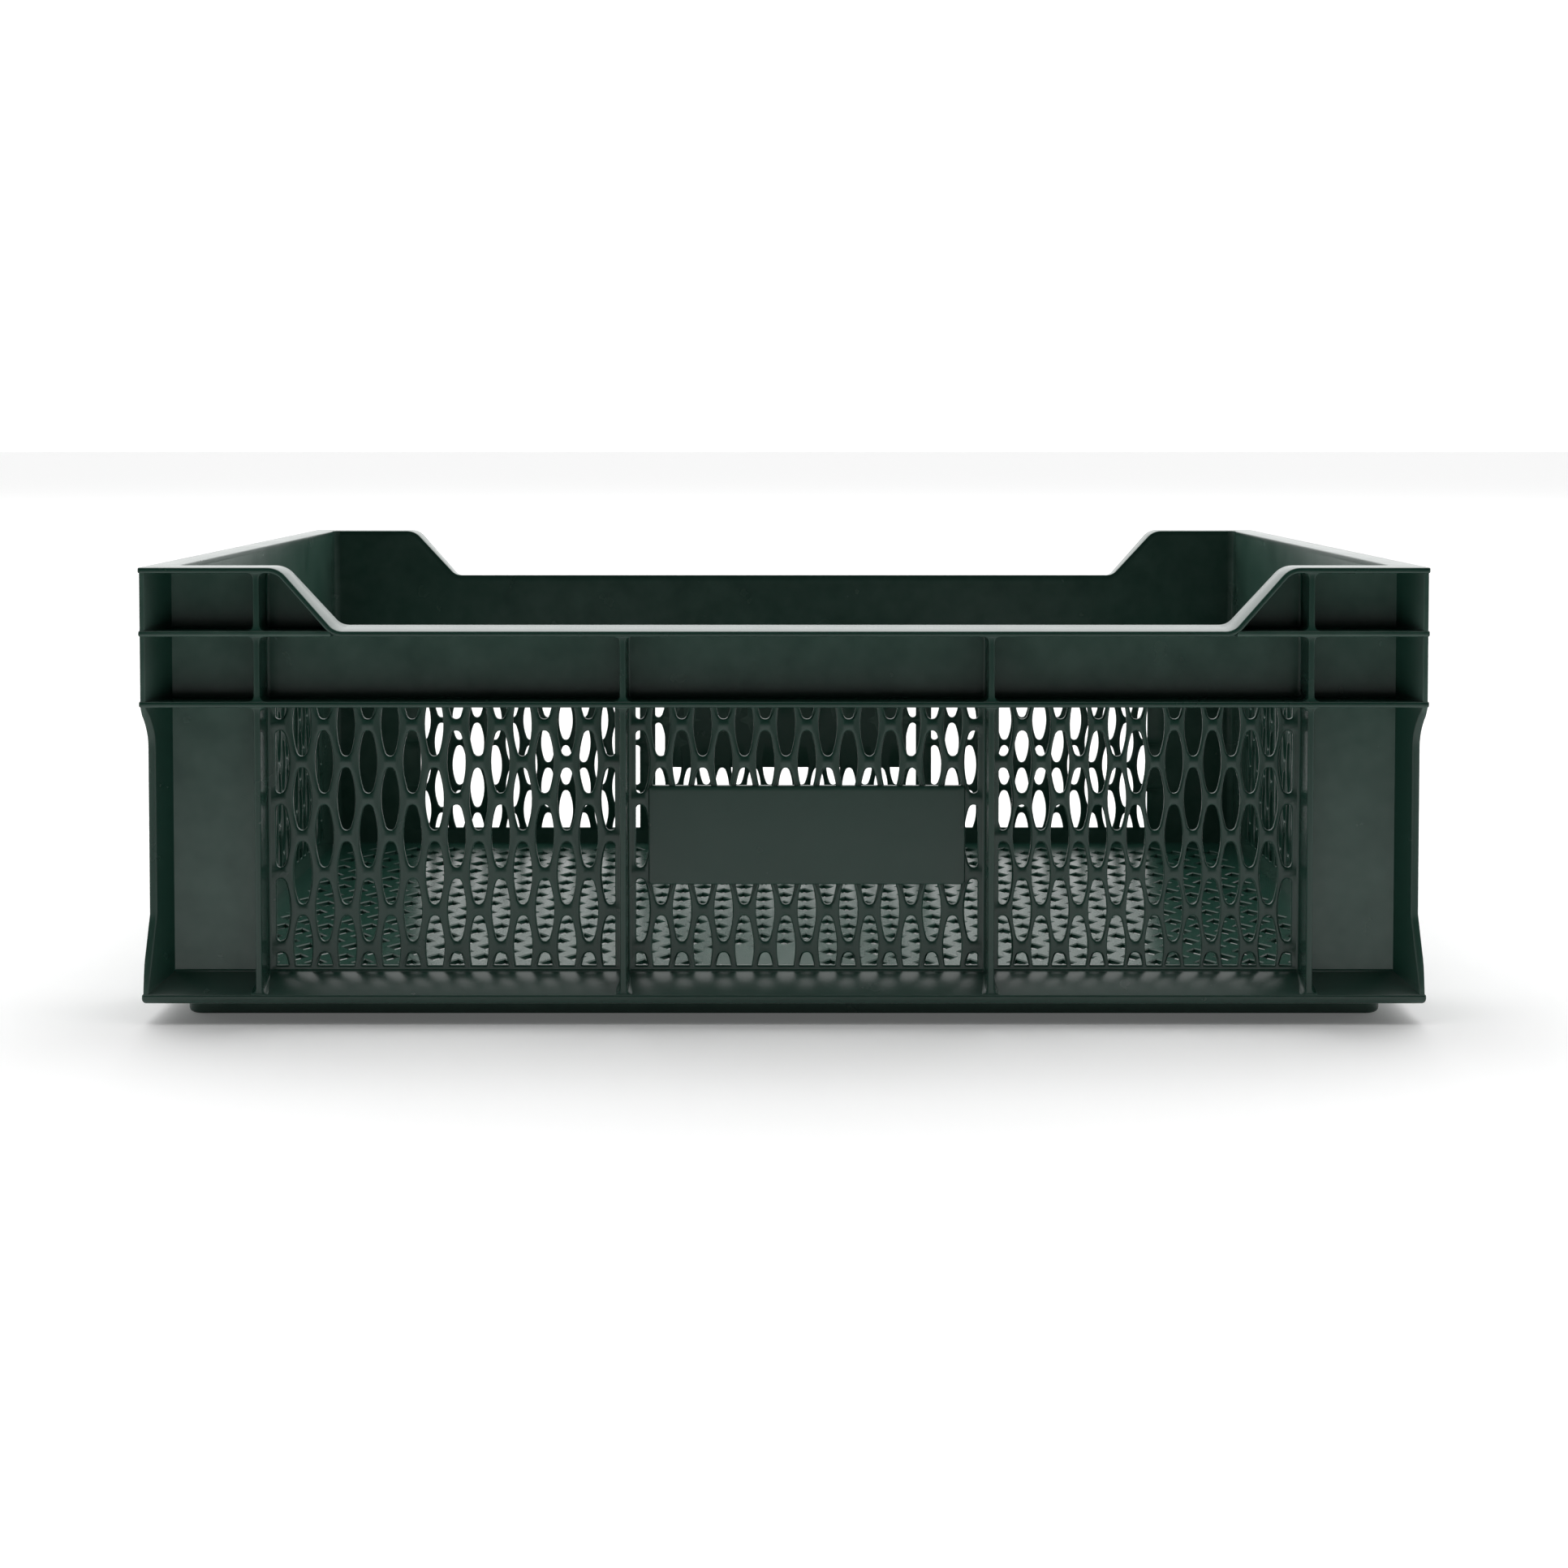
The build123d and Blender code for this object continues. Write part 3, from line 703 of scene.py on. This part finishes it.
def slotted_wall(side):
    """End wall: rings from the plate's edge to the slot's edge, outside and then inside."""
    u0, v0 = rounded_loop(inner_y, (rim_low - lower_top) / 2, 0.0)
    u1, v1 = rounded_loop(handle_u, handle_v, handle_radius)
    v0 = v0 + (rim_low + lower_top) / 2
    v1 = v1 + handle_mid
    steps = [(u0, v0, wall_x), (u1, v1, wall_x), (u1, v1, inner_x), (u0, v0, inner_x)]
    rings = np.stack([place(side, u, v, w) for u, v, w in steps], axis=0)
    return tube(rings, loop=True)


for side in ("left", "right"):
    make_piece(f"{side}_slotted_wall", [slotted_wall(side)], [f"{side}_upper_wall"])

# %% Collars round the hand-holds
collar_out = collar_high.x


def collar(side, edge=1.0 * MM, inside_edge=0.9 * MM):
    """A closed section carried round the slot: out along the outside, round, and back in."""
    section = [(collar_thick, wall_x - 1.0 * MM), (collar_thick, collar_out - edge)]
    for a in np.radians((30, 60, 90)):
        section.append(
            (collar_thick - edge + edge * math.cos(a), collar_out - edge + edge * math.sin(a))
        )
    section += [(edge, collar_out), (0.3 * edge, collar_out - 0.3 * edge), (0.0, collar_out - edge)]
    section += [(0.0, inner_x + inside_edge), (0.3 * inside_edge, inner_x + 0.3 * inside_edge)]
    section += [(inside_edge, inner_x)]
    rings = []
    for grow, w in section:
        u, v = rounded_loop(handle_u + grow, handle_v + grow, handle_radius + grow)
        rings.append(place(side, u, v + handle_mid, w))
    return tube(np.stack(rings, axis=0), loop=True)


for side in ("left", "right"):
    make_piece(f"{side}_collar", [collar(side)], [f"{side}_handle_collar"])

# %% [markdown]
# ## The lattice walls
# The lattice is a pattern of tall lens-shaped holes in columns, every second column half a
# step lower. Cutting hundreds of holes with booleans is slow and leaves ragged
# triangles, so the wall is built the other way round, from cells. A cell is one hole with
# its share of the wall: the line half-way to the holes on either side. In a cell, rings of
# points run from that line to the rounded edge of the hole, through it, and back on the
# inside. Neighbouring cells share their outer points, so the wall closes by itself.

# %% Shape of a hole
hole_half = 8.7 * MM / 2
hole_tip = 2.4 * MM


def lens(dz, half_length):
    """Half width of a lens-shaped hole at dz above its middle.

    Two large arcs make the sides, and a small arc, tangent to both, makes each tip.
    """
    tip_at = half_length - hole_tip
    side = (hole_half**2 + tip_at**2 - hole_tip**2) / (2 * (hole_half - hole_tip))
    join = side * tip_at / (side - hole_tip)
    dz = np.abs(dz)
    flank = np.sqrt(np.maximum(side**2 - dz**2, 0)) - (side - hole_half)
    nose = np.sqrt(np.maximum(hole_tip**2 - (dz - tip_at) ** 2, 0))
    return np.where(dz < join, flank, np.where(dz < half_length, nose, 0.0))


# %% A bay of lattice from its cells
def lattice(side, bay, window, columns, pattern, low, high, blocked=None, edge=0.8 * MM, n=14):
    """One closed shell of lattice.

    bay is (from, to) in u, and window bounds the holes in u and v. pattern is the level of
    an even hole, the rise from hole to hole in a column, and the gap left between them.
    columns are u of the column centres and whether each is an even one. blocked is a
    rectangle (u0, u1, v0, v1) that stays solid, except for the first and last column.
    """
    (bay_from, bay_to), (start, stop, sill, head) = bay, window
    (centres, even), (even_level, rise, gap) = columns, pattern
    half_length = (rise - gap) / 2
    level = np.where(even, even_level, even_level - rise / 2)
    rows = np.arange(-12, 12)
    column, row = np.meshgrid(np.arange(len(centres)), rows, indexing="ij")
    column = column.ravel()
    mid = level[column] + row.ravel() * rise
    keep = (mid + rise / 2 > low + 1e-6) & (mid - rise / 2 < high - 1e-6)
    column, mid = column[keep][:, None], mid[keep][:, None]
    centre = centres[column]

    # outer line of each cell: half-way to the holes of the neighbouring columns
    v = np.clip(mid - rise / 2 + rise * np.arange(n + 1) / n, low, high)

    def width_in(col, v):
        away = (v - level[col] + rise / 2) % rise - rise / 2
        return lens(away, half_length)

    last = len(centres) - 1
    right_col, left_col = np.minimum(column + 1, last), np.maximum(column - 1, 0)
    own = width_in(column, v)
    right = (centre + centres[right_col] + own - width_in(right_col, v)) / 2
    left = (centre + centres[left_col] - own + width_in(left_col, v)) / 2
    right = np.where(column == last, bay_to, right)
    left = np.where(column == 0, bay_from, left)
    cell_u = np.concatenate([right, left[:, ::-1]], axis=1)
    cell_v = np.concatenate([v, v[:, ::-1]], axis=1)

    # the hole's own outline, cut by the window and by the blocked rectangle
    tip_share = 0.997
    hole_low = np.maximum(mid - half_length * tip_share, sill)
    hole_high = np.minimum(mid + half_length * tip_share, head)
    if blocked is not None:
        u0, u1, v0, v1 = blocked
        inner = (column > 0) & (column < last)
        hole_high = np.where(inner & (mid <= (v0 + v1) / 2), np.minimum(hole_high, v0), hole_high)
        hole_low = np.where(inner & (mid > (v0 + v1) / 2), np.maximum(hole_low, v1), hole_low)
    smallest = 2.2 * edge
    open_cell = (hole_high - hole_low > smallest)[:, 0]
    swing = np.sin(np.linspace(-math.pi / 2, math.pi / 2, n + 1))
    hole_v = (hole_low + hole_high) / 2 + (hole_high - hole_low) / 2 * swing
    half = lens(hole_v - mid, half_length)
    hole_right = np.clip(centre + half, start, stop)
    hole_left = np.clip(centre - half, start, stop)
    hole_u = np.concatenate([hole_right, hole_left[:, ::-1]], axis=1)
    hole_v = np.concatenate([hole_v, hole_v[:, ::-1]], axis=1)

    # outward direction of the hole's outline, from the line through its neighbours
    du = np.roll(hole_u, -1, 1) - np.roll(hole_u, 1, 1)
    dv = np.roll(hole_v, -1, 1) - np.roll(hole_v, 1, 1)
    size = np.maximum(np.hypot(du, dv), 1e-9)
    out_u, out_v = dv / size, -du / size

    inside, outside = INNER[side], FACE[side]
    bend = 1 - math.sqrt(0.5)
    steps = [
        (None, outside),
        (edge, outside),
        (bend * edge, outside - bend * edge),
        (0.0, outside - edge),
        (0.0, inside + edge),
        (bend * edge, inside + bend * edge),
        (edge, inside),
        (None, inside),
    ]
    rings = []
    for grow, w in steps:
        if grow is None:
            rings.append(place(side, cell_u, cell_v, w))
        else:
            rings.append(place(side, hole_u + grow * out_u, hole_v + grow * out_v, w))
    rings = np.stack(rings, axis=1)
    cells, count, around = rings.shape[:3]
    points = rings.reshape(-1, 3)
    base = (np.arange(cells) * count * around)[:, None, None]
    strip = grid_faces(count, around, close_cols=True)[None]
    faces = [(base + strip)[open_cell].reshape(-1, 4)]

    # a cell with no hole is closed by a fan on each face
    k = np.arange(around)
    k2 = (k + 1) % around
    middle = np.stack(
        [
            place(side, cell_u.mean(1), cell_v.mean(1), outside),
            place(side, cell_u.mean(1), cell_v.mean(1), inside),
        ],
        axis=1,
    ).reshape(-1, 3)
    centre_index = len(points) + 2 * np.arange(cells)[:, None]
    points = np.vstack([points, middle])
    solid = ~open_cell
    hub = np.broadcast_to(centre_index, (cells, around))
    ring0 = base[:, :, 0] + k
    ring0_next = base[:, :, 0] + k2
    deep = (count - 1) * around
    fan_out = np.stack([hub, ring0_next, ring0, ring0], -1)[solid]
    fan_in = np.stack([hub + 1, ring0 + deep, ring0_next + deep, ring0_next + deep], -1)[solid]
    faces += [fan_out.reshape(-1, 4), fan_in.reshape(-1, 4)]

    # the outer edge of the bay joins the outside face to the inside one
    tiny = 1e-7
    next_u, next_v = np.roll(cell_u, -1, 1), np.roll(cell_v, -1, 1)
    rim_edge = np.zeros_like(cell_u, bool)
    for line, following, limit in (
        (cell_u, next_u, bay_from),
        (cell_u, next_u, bay_to),
        (cell_v, next_v, low),
        (cell_v, next_v, high),
    ):
        rim_edge |= (np.abs(line - limit) < tiny) & (np.abs(following - limit) < tiny)
    border = np.stack([ring0_next, ring0, ring0 + deep, ring0_next + deep], -1)
    faces.append(border[rim_edge])
    faces = np.vstack(faces)
    points, quads, tris = weld(points, faces)
    faces = np.vstack([quads, np.hstack([tris, tris[:, -1:]])])
    return points, outward(points, faces)


# %% Columns, bays and windows
sill = 24.4 * MM
cell_low = 22.9 * MM
window_margin = 3.5 * MM
edge_column = 2.0 * MM
rear_strip = 8.5 * MM


def columns_of(start, stop, pitch, first):
    """Column centres spaced evenly across a window, and which of them are even ones."""
    span = stop - start - 2 * edge_column
    count = round(span / pitch) + 1
    return start + edge_column + np.linspace(0, span, count), (np.arange(count) + first) % 2 == 0


def lattice_wall(side, ribs, pitches, pattern, plate=None, wings=None, end_strip=0.0):
    """All the bays of one side, with the solid strip under the windows."""
    shells, first = [], 1
    for bay, pitch in enumerate(pitches):
        bay_from, bay_to = ribs[bay], ribs[bay + 1]
        start = bay_from + rib_half + window_margin + (end_strip if bay == 0 else 0)
        stop = bay_to - rib_half - window_margin - (end_strip if bay == 2 else 0)
        columns = columns_of(start, stop, pitch, first)
        first += len(columns[0])
        blocked = plate if plate is not None and bay == 1 else None
        shells.append(
            lattice(
                side,
                (bay_from, bay_to),
                (start, stop, sill, lower_low),
                columns,
                pattern,
                cell_low,
                lower_top,
                blocked,
            )
        )
    ends = np.array([ribs[0], ribs[-1]]) if wings is None else np.array([-wings, wings])
    shells.append(sheet_shell(side, ends, floor_low, cell_low, INNER[side], FACE[side]))
    if wings is not None:
        for a, b in ((-wings, ribs[0]), (ribs[-1], wings)):
            shells.append(
                sheet_shell(side, np.array([a, b]), cell_low, lower_top, INNER[side], FACE[side])
            )
    return shells


# %% The four lattice walls
LONG_PITCH = {"front": (10.4 * MM, 9.9 * MM, 8.9 * MM), "rear": (11.1 * MM, 9.9 * MM, 11.1 * MM)}
PATTERN = {side: (33.1 * MM, 35.2 * MM, 5.5 * MM) for side in SIDES}
PATTERN["rear"] = (21.3 * MM, 28.8 * MM, 3.6 * MM)
end_rib = 145.0 * MM
RIBS = {}
for side in ("front", "rear"):
    label_low_corner, label_high_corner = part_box(f"{side}_label_lattice")
    from_x, to_x = label_low_corner.x, label_high_corner.x
    flip = 1 if side == "front" else -1
    inner_ribs = sorted((flip * from_x, flip * to_x))
    RIBS[side] = [-long_rib, *inner_ribs, long_rib]
    plate_low, plate_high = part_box(f"{side}_label_plate")
    plate_u = sorted((flip * plate_low.x, flip * plate_high.x))
    blocked = (*plate_u, plate_low.z, plate_high.z)
    strip = rear_strip if side == "rear" else 0.0
    shells = lattice_wall(
        side, RIBS[side], LONG_PITCH[side], PATTERN[side], blocked, end_strip=strip
    )
    nodes_replaced = [f"{side}_{bay}_lattice" for bay in ("left", "label", "right")]
    make_piece(f"{side}_lattice", shells, nodes_replaced, crease=50)

for side in ("left", "right"):
    RIBS[side] = [-end_rib, -handle_rib, handle_rib, end_rib]
    shells = lattice_wall(side, RIBS[side], (9.9 * MM,) * 3, PATTERN[side], wings=inner_y)
    make_piece(f"{side}_lattice", shells, [f"{side}_end_lattice"], crease=50)

# %% [markdown]
# ## Label plates
# In the middle bay a plain rectangle is left solid for a label. It stands a little proud of
# the lattice, with a soft edge.

# %% Two label plates
def raised_plate(side, u0, u1, v0, v1, face, rise, edge=0.7 * MM, radius=1.2 * MM):
    """A shallow pad: rounded loops that step in and out over its softened edge, then a cap."""
    mid_u, mid_v = (u0 + u1) / 2, (v0 + v1) / 2
    rings = []
    for inset, w in (
        (0.0, face - 0.6 * MM),
        (0.0, face + rise - edge),
        (0.12 * edge, face + rise - 0.5 * edge),
        (0.5 * edge, face + rise - 0.12 * edge),
        (edge, face + rise),
        (edge + 2.0 * MM, face + rise),
    ):
        u, v = rounded_loop((u1 - u0) / 2 - inset, (v1 - v0) / 2 - inset, radius, steps=4)
        rings.append(place(side, u + mid_u, v + mid_v, w))
    return tube(np.stack(rings, axis=0))


for side in ("front", "rear"):
    plate_low, plate_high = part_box(f"{side}_label_plate")
    flip = 1 if side == "front" else -1
    plate_u = sorted((flip * plate_low.x, flip * plate_high.x))
    pad = raised_plate(
        side,
        plate_u[0] + 0.6 * MM,
        plate_u[1] - 0.6 * MM,
        plate_low.z,
        plate_high.z,
        wall_y,
        label_face - wall_y,
    )
    make_piece(f"{side}_label_pad", [pad], [f"{side}_label_plate"])

# %% [markdown]
# ## Ribs
# A rib is a thin blade from the wall out to the outline. It swells where it meets the wall
# and where it runs into a ring, which is the fillet that lets the plastic flow and keeps the
# joint strong. The foot of a lower rib follows the slope of the flange.

# %% One rib
rib_reach = 0.5 * MM
flare = 2.6 * MM
root = 1.3 * MM
rib_edge = 0.7 * MM


def fillet_swell(distance, radius):
    """How far a fillet of that radius still stands out at a distance from the joint."""
    reach_left = np.clip(radius - distance, 0, radius)
    return radius - np.sqrt(np.maximum(radius**2 - reach_left**2, 0))


def rib(side, u, low, high, sloped=False):
    """A blade as a tube: stations up the rib, and a ring round it at each."""
    face, reach = FACE[side], REACH[side] - rib_reach
    steps = np.array([0.0, 0.12, 0.3, 0.55, 1.0, 1.6])
    turn = np.radians((0, 30, 60, 90))
    w = np.concatenate(
        [
            [face - 1.0 * MM],
            face + root * np.array([0.0, 0.15, 0.4, 1.0]),
            [reach - 3.0 * MM],
            reach - rib_edge + rib_edge * np.sin(turn),
        ]
    )
    tuck = np.concatenate([np.zeros(6), rib_edge * (1 - np.cos(turn))])
    drop = slope_top - lip_top if sloped else 0.0
    foot = low - (w - face) / (REACH[side] - face) * drop - 0.4 * MM
    v_low = foot[None] + flare * steps[:, None]
    v_high = np.full(w.shape, high + 0.4 * MM)[None] - flare * steps[::-1, None]
    v = np.vstack([v_low, v_high])
    from_end = flare * np.concatenate([steps, steps[::-1]])[:, None] - 0.4 * MM
    swell = np.hypot(
        fillet_swell(np.maximum(from_end, 0), flare), fillet_swell(np.maximum(w - face, 0), root)[None]
    )
    half = rib_half + swell - tuck[None]
    left = place(side, u - half, v, w[None])
    right = place(side, u + half, v, w[None])
    return tube(np.concatenate([left, right[:, ::-1]], axis=1))


# %% Ribs of all four sides
for side in SIDES:
    lower = [rib(side, u, slope_top, lower_low, sloped=True) for u in RIBS[side]]
    if side in ("front", "rear"):
        upper = [rib(side, u, lower_top, middle_low) for u in RIBS[side]]
        upper += [rib(side, u, middle_top, rim_low) for u in (RIBS[side][0], RIBS[side][-1])]
    else:
        upper = [rib(side, u, lower_top, middle_low) for u in (RIBS[side][0], RIBS[side][-1])]
        upper += [rib(side, u, middle_top, rim_low) for u in (RIBS[side][0], RIBS[side][-1])]
        upper += [rib(side, u, lower_top, rim_low) for u in RIBS[side][1:-1]]
    make_piece(f"{side}_ribs", lower + upper, [f"{side}_lower_ribs", f"{side}_upper_ribs"])

# %% [markdown]
# ## Corner webs
# At each corner a blade runs out along the diagonal. Over the rings it fills the whole
# corner. Under them it draws in to a waist, and flares out again to the corner of the flange.

# %% Four corner webs
web_width, web_tip = 3.4 * MM, 2.6 * MM
web_deep, web_waist = 15.6 * MM, 10.1 * MM
web_curl, web_flare = 19.0 * MM, 30.0 * MM
web_lean = (half_x - wall_x - web_tip) / (half_y - wall_y)


def web_depth(v):
    """How far the web stands out from the long wall at height v, under the lower ring."""
    below = np.clip(lower_low - v, 0, None)
    draw = web_deep - web_waist
    bend = (web_curl**2 + draw**2) / (2 * draw)
    curl = bend - np.sqrt(np.maximum(bend**2 - np.clip(web_curl - below, 0, None) ** 2, 0))
    rise = np.clip((slope_top + web_flare - v) / (slope_top + web_flare - lip_top), 0, 1)
    return web_waist + curl + rise * draw


def web(sign_x, sign_y, v, depth, edge=0.5 * MM):
    """A blade from the corner of the walls: at each height a ring round it, out to its depth.

    d is the distance out from the long wall and s the distance from the blade's front face.
    """
    depth = depth[:, None]
    none, cut = np.zeros_like(depth), 0.3 * edge
    back = np.full_like(depth, -web_width / web_lean)
    front = [none - 1.0 * MM, none, depth - edge, depth - cut, depth]
    d = np.hstack([*front, depth, depth - cut, depth - edge, none, back])
    rounding = np.array([0.0, 0.0, 0.0, 0.3 * edge, edge])
    s = np.concatenate([rounding, web_width - rounding[::-1]])
    x = np.minimum(wall_x + web_lean * d + s[None], half_x - 0.8 * MM)
    x[:, -1] = wall_x
    x[:, 0] = wall_x - 1.0 * MM
    apron = slope_top - np.clip(d, 0, None) / (half_y - wall_y) * (slope_top - lip_top)
    z = np.maximum(v[:, None], apron - 0.8 * MM)
    return tube(np.stack([sign_x * x, sign_y * (wall_y + d), z], axis=-1))


for corner, sign_x, sign_y in CORNERS:
    lower_v = np.concatenate(
        [
            np.linspace(lip_top - 0.5 * MM, slope_top + web_flare, 12),
            np.linspace(lower_low - web_curl, lower_low + 0.3 * MM, 10),
        ]
    )
    band_v = np.array([lower_top - 0.3 * MM, middle_low + 0.3 * MM])
    rim_v = np.array([middle_top - 0.3 * MM, rim_low + 0.3 * MM])
    shells = [
        web(sign_x, sign_y, lower_v, web_depth(lower_v)),
        web(sign_x, sign_y, band_v, np.full(2, web_deep)),
        web(sign_x, sign_y, rim_v, np.full(2, web_deep)),
    ]
    make_piece(f"{corner}_web", shells, [f"{corner}_corner_web"])

# %% [markdown]
# ## Flange and foot
# The flange is a sloped apron that ends in a rounded lip. In a stack the lip rests on the rim
# below, and the foot drops inside it. Both run round the crate on rails, as the rings do.

# %% The flange
def flange_section(skin=2.4 * MM, under=2.6 * MM, edge=0.8 * MM, root=1.2 * MM, sunk=1.0 * MM):
    """Apron and lip: up the rounded outer face, in along the slope, and back underneath."""
    drop = lip_top - lip_low
    return (
        [(0, 3.6 * MM, lip_low)]
        + arc(0, under, lip_low + under, under, -90, 0, count=6)
        + arc(0, edge, lip_top - edge, edge, 0, 65)
        + [(1, -root, slope_top + 0.4 * MM), (1, -0.3 * root, slope_top + 0.35 * root + 0.4 * MM)]
        + [(1, 0.0, slope_top + root + 0.4 * MM), (1, sunk, slope_top + root)]
        + [(1, sunk, slope_top - skin), (1, 0.0, slope_top - skin)]
        + [(0, 3.6 * MM, lip_low + drop - skin + 0.3 * MM)]
    )


make_piece(
    "flange",
    [tube(between(outer_line, wall_line, flange_section()), loop=True)],
    [f"{side}_flange" for side in SIDES],
)

# %% The foot
foot_outer, foot_inner = rails(
    (foot_x, foot_y), (foot_x - 3.0 * MM, foot_y - 3.0 * MM), 8.0 * MM, 5.0 * MM
)
foot_section = (
    [(0, 0.0, floor_low)]
    + arc(0, 2.0 * MM, 2.0 * MM, 2.0 * MM, 0, -90, count=5)
    + arc(1, -0.8 * MM, 0.8 * MM, 0.8 * MM, 270, 180)
    + [(1, 0.0, floor_low)]
)
make_piece(
    "foot",
    [tube(between(foot_outer, foot_inner, foot_section), loop=True)],
    [f"{side}_foot" for side in SIDES],
)

# %% [markdown]
# ## The floor
# The floor is a plate full of small diamonds, in two sets that interlock, with one plain
# patch by the front wall. It is made of cells too. There are hundreds, so a cell has only
# eight points a ring: the diamond's corners and the middles of its sides.

# %% Floor cells
diamond_half = np.array([5.3, 7.2]) * MM
diamond_pitch = np.array([23.2, 22.8]) * MM
floor_margin = 5.0 * MM
patch_x = np.array([-46.0, 22.0]) * MM
patch_back = -inner_y + 73.0 * MM


def floor_plate(edge=0.6 * MM):
    """Cells half a pitch wide and a pitch long, each column shifted by half a cell."""
    cell = np.array([diamond_pitch[0] / 2, diamond_pitch[1]])
    reach_x, reach_y = int(inner_x / cell[0]) + 2, int(inner_y / cell[1]) + 2
    i, j = np.meshgrid(np.arange(-reach_x, reach_x + 1), np.arange(-reach_y, reach_y + 1))
    i, j = i.ravel(), j.ravel()
    x, y = i * cell[0], (j + 0.5 * (i % 2)) * cell[1]
    keep = (np.abs(x) < inner_x + cell[0] / 2 - 1e-6) & (np.abs(y) < inner_y + cell[1] / 2 - 1e-6)
    x, y = x[keep][:, None], y[keep][:, None]
    ring_x = np.array([1, 1, 0, -1, -1, -1, 0, 1])
    ring_y = np.array([0, 1, 1, 1, 0, -1, -1, -1])
    cell_x = np.clip(x + ring_x * cell[0] / 2, -inner_x, inner_x)
    cell_y = np.clip(y + ring_y * cell[1] / 2, -inner_y, inner_y)
    share = np.array([1.0, 0.5, 0.0, 0.5, 1.0, 0.5, 0.0, 0.5])
    hole_x = x + ring_x * diamond_half[0] * np.where(ring_x == 0, 0, share)
    hole_y = y + ring_y * diamond_half[1] * np.where(ring_y == 0, 0, 1 - share)
    fits = (np.abs(x) + diamond_half[0] <= inner_x - floor_margin) & (
        np.abs(y) + diamond_half[1] <= inner_y - floor_margin
    )
    plain = (x > patch_x[0]) & (x < patch_x[1]) & (y < patch_back)
    open_cell = (fits & ~plain)[:, 0]
    out = np.stack([ring_x / diamond_half[0], ring_y / diamond_half[1]], -1)
    out = out / np.linalg.norm(out, axis=1, keepdims=True)
    steps = [
        (None, floor_top),
        (edge, floor_top),
        (0.0, floor_top - edge),
        (0.0, floor_low),
        (None, floor_low),
    ]
    rings = []
    for grow, z in steps:
        if grow is None:
            rings.append(np.stack([cell_x, cell_y, np.full_like(cell_x, z)], -1))
        else:
            shifted = (hole_x + grow * out[:, 0], hole_y + grow * out[:, 1])
            rings.append(np.stack([*shifted, np.full_like(hole_x, z)], -1))
    rings = np.stack(rings, axis=1)
    cells, count, around = rings.shape[:3]
    points = rings.reshape(-1, 3)
    base = (np.arange(cells) * count * around)[:, None, None]
    faces = [(base + grid_faces(count, around, close_cols=True)[None])[open_cell].reshape(-1, 4)]
    k = np.arange(around)
    k2 = (k + 1) % around
    middle = np.stack([cell_x.mean(1), cell_y.mean(1)], -1)
    hubs = np.stack(
        [np.column_stack([middle, np.full(cells, z)]) for z in (floor_top, floor_low)], axis=1
    )
    hub = len(points) + 2 * np.arange(cells)[:, None] + np.zeros(around, int)
    points = np.vstack([points, hubs.reshape(-1, 3)])
    solid = ~open_cell
    first, following = base[:, :, 0] + k, base[:, :, 0] + k2
    deep = (count - 1) * around
    fan_top = np.stack([hub, following, first, first], -1)[solid]
    fan_low = np.stack([hub + 1, first + deep, following + deep, following + deep], -1)[solid]
    faces += [fan_top.reshape(-1, 4), fan_low.reshape(-1, 4)]
    next_x, next_y = np.roll(cell_x, -1, 1), np.roll(cell_y, -1, 1)
    side_edge = (np.abs(np.abs(cell_x) - inner_x) < 1e-7) & (np.abs(cell_x - next_x) < 1e-7)
    end_edge = (np.abs(np.abs(cell_y) - inner_y) < 1e-7) & (np.abs(cell_y - next_y) < 1e-7)
    border = np.stack([following, first, first + deep, following + deep], -1)
    faces.append(border[side_edge | end_edge])
    points, quads, tris = weld(points, np.vstack(faces))
    faces = np.vstack([quads, np.hstack([tris, tris[:, -1:]])])
    return points, outward(points, faces)


make_piece("floor_plate", [floor_plate()], ["floor_grid"], crease=30)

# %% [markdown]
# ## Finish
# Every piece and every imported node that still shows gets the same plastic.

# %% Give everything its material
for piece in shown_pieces():
    piece.data.materials.clear()
    piece.data.materials.append(green)
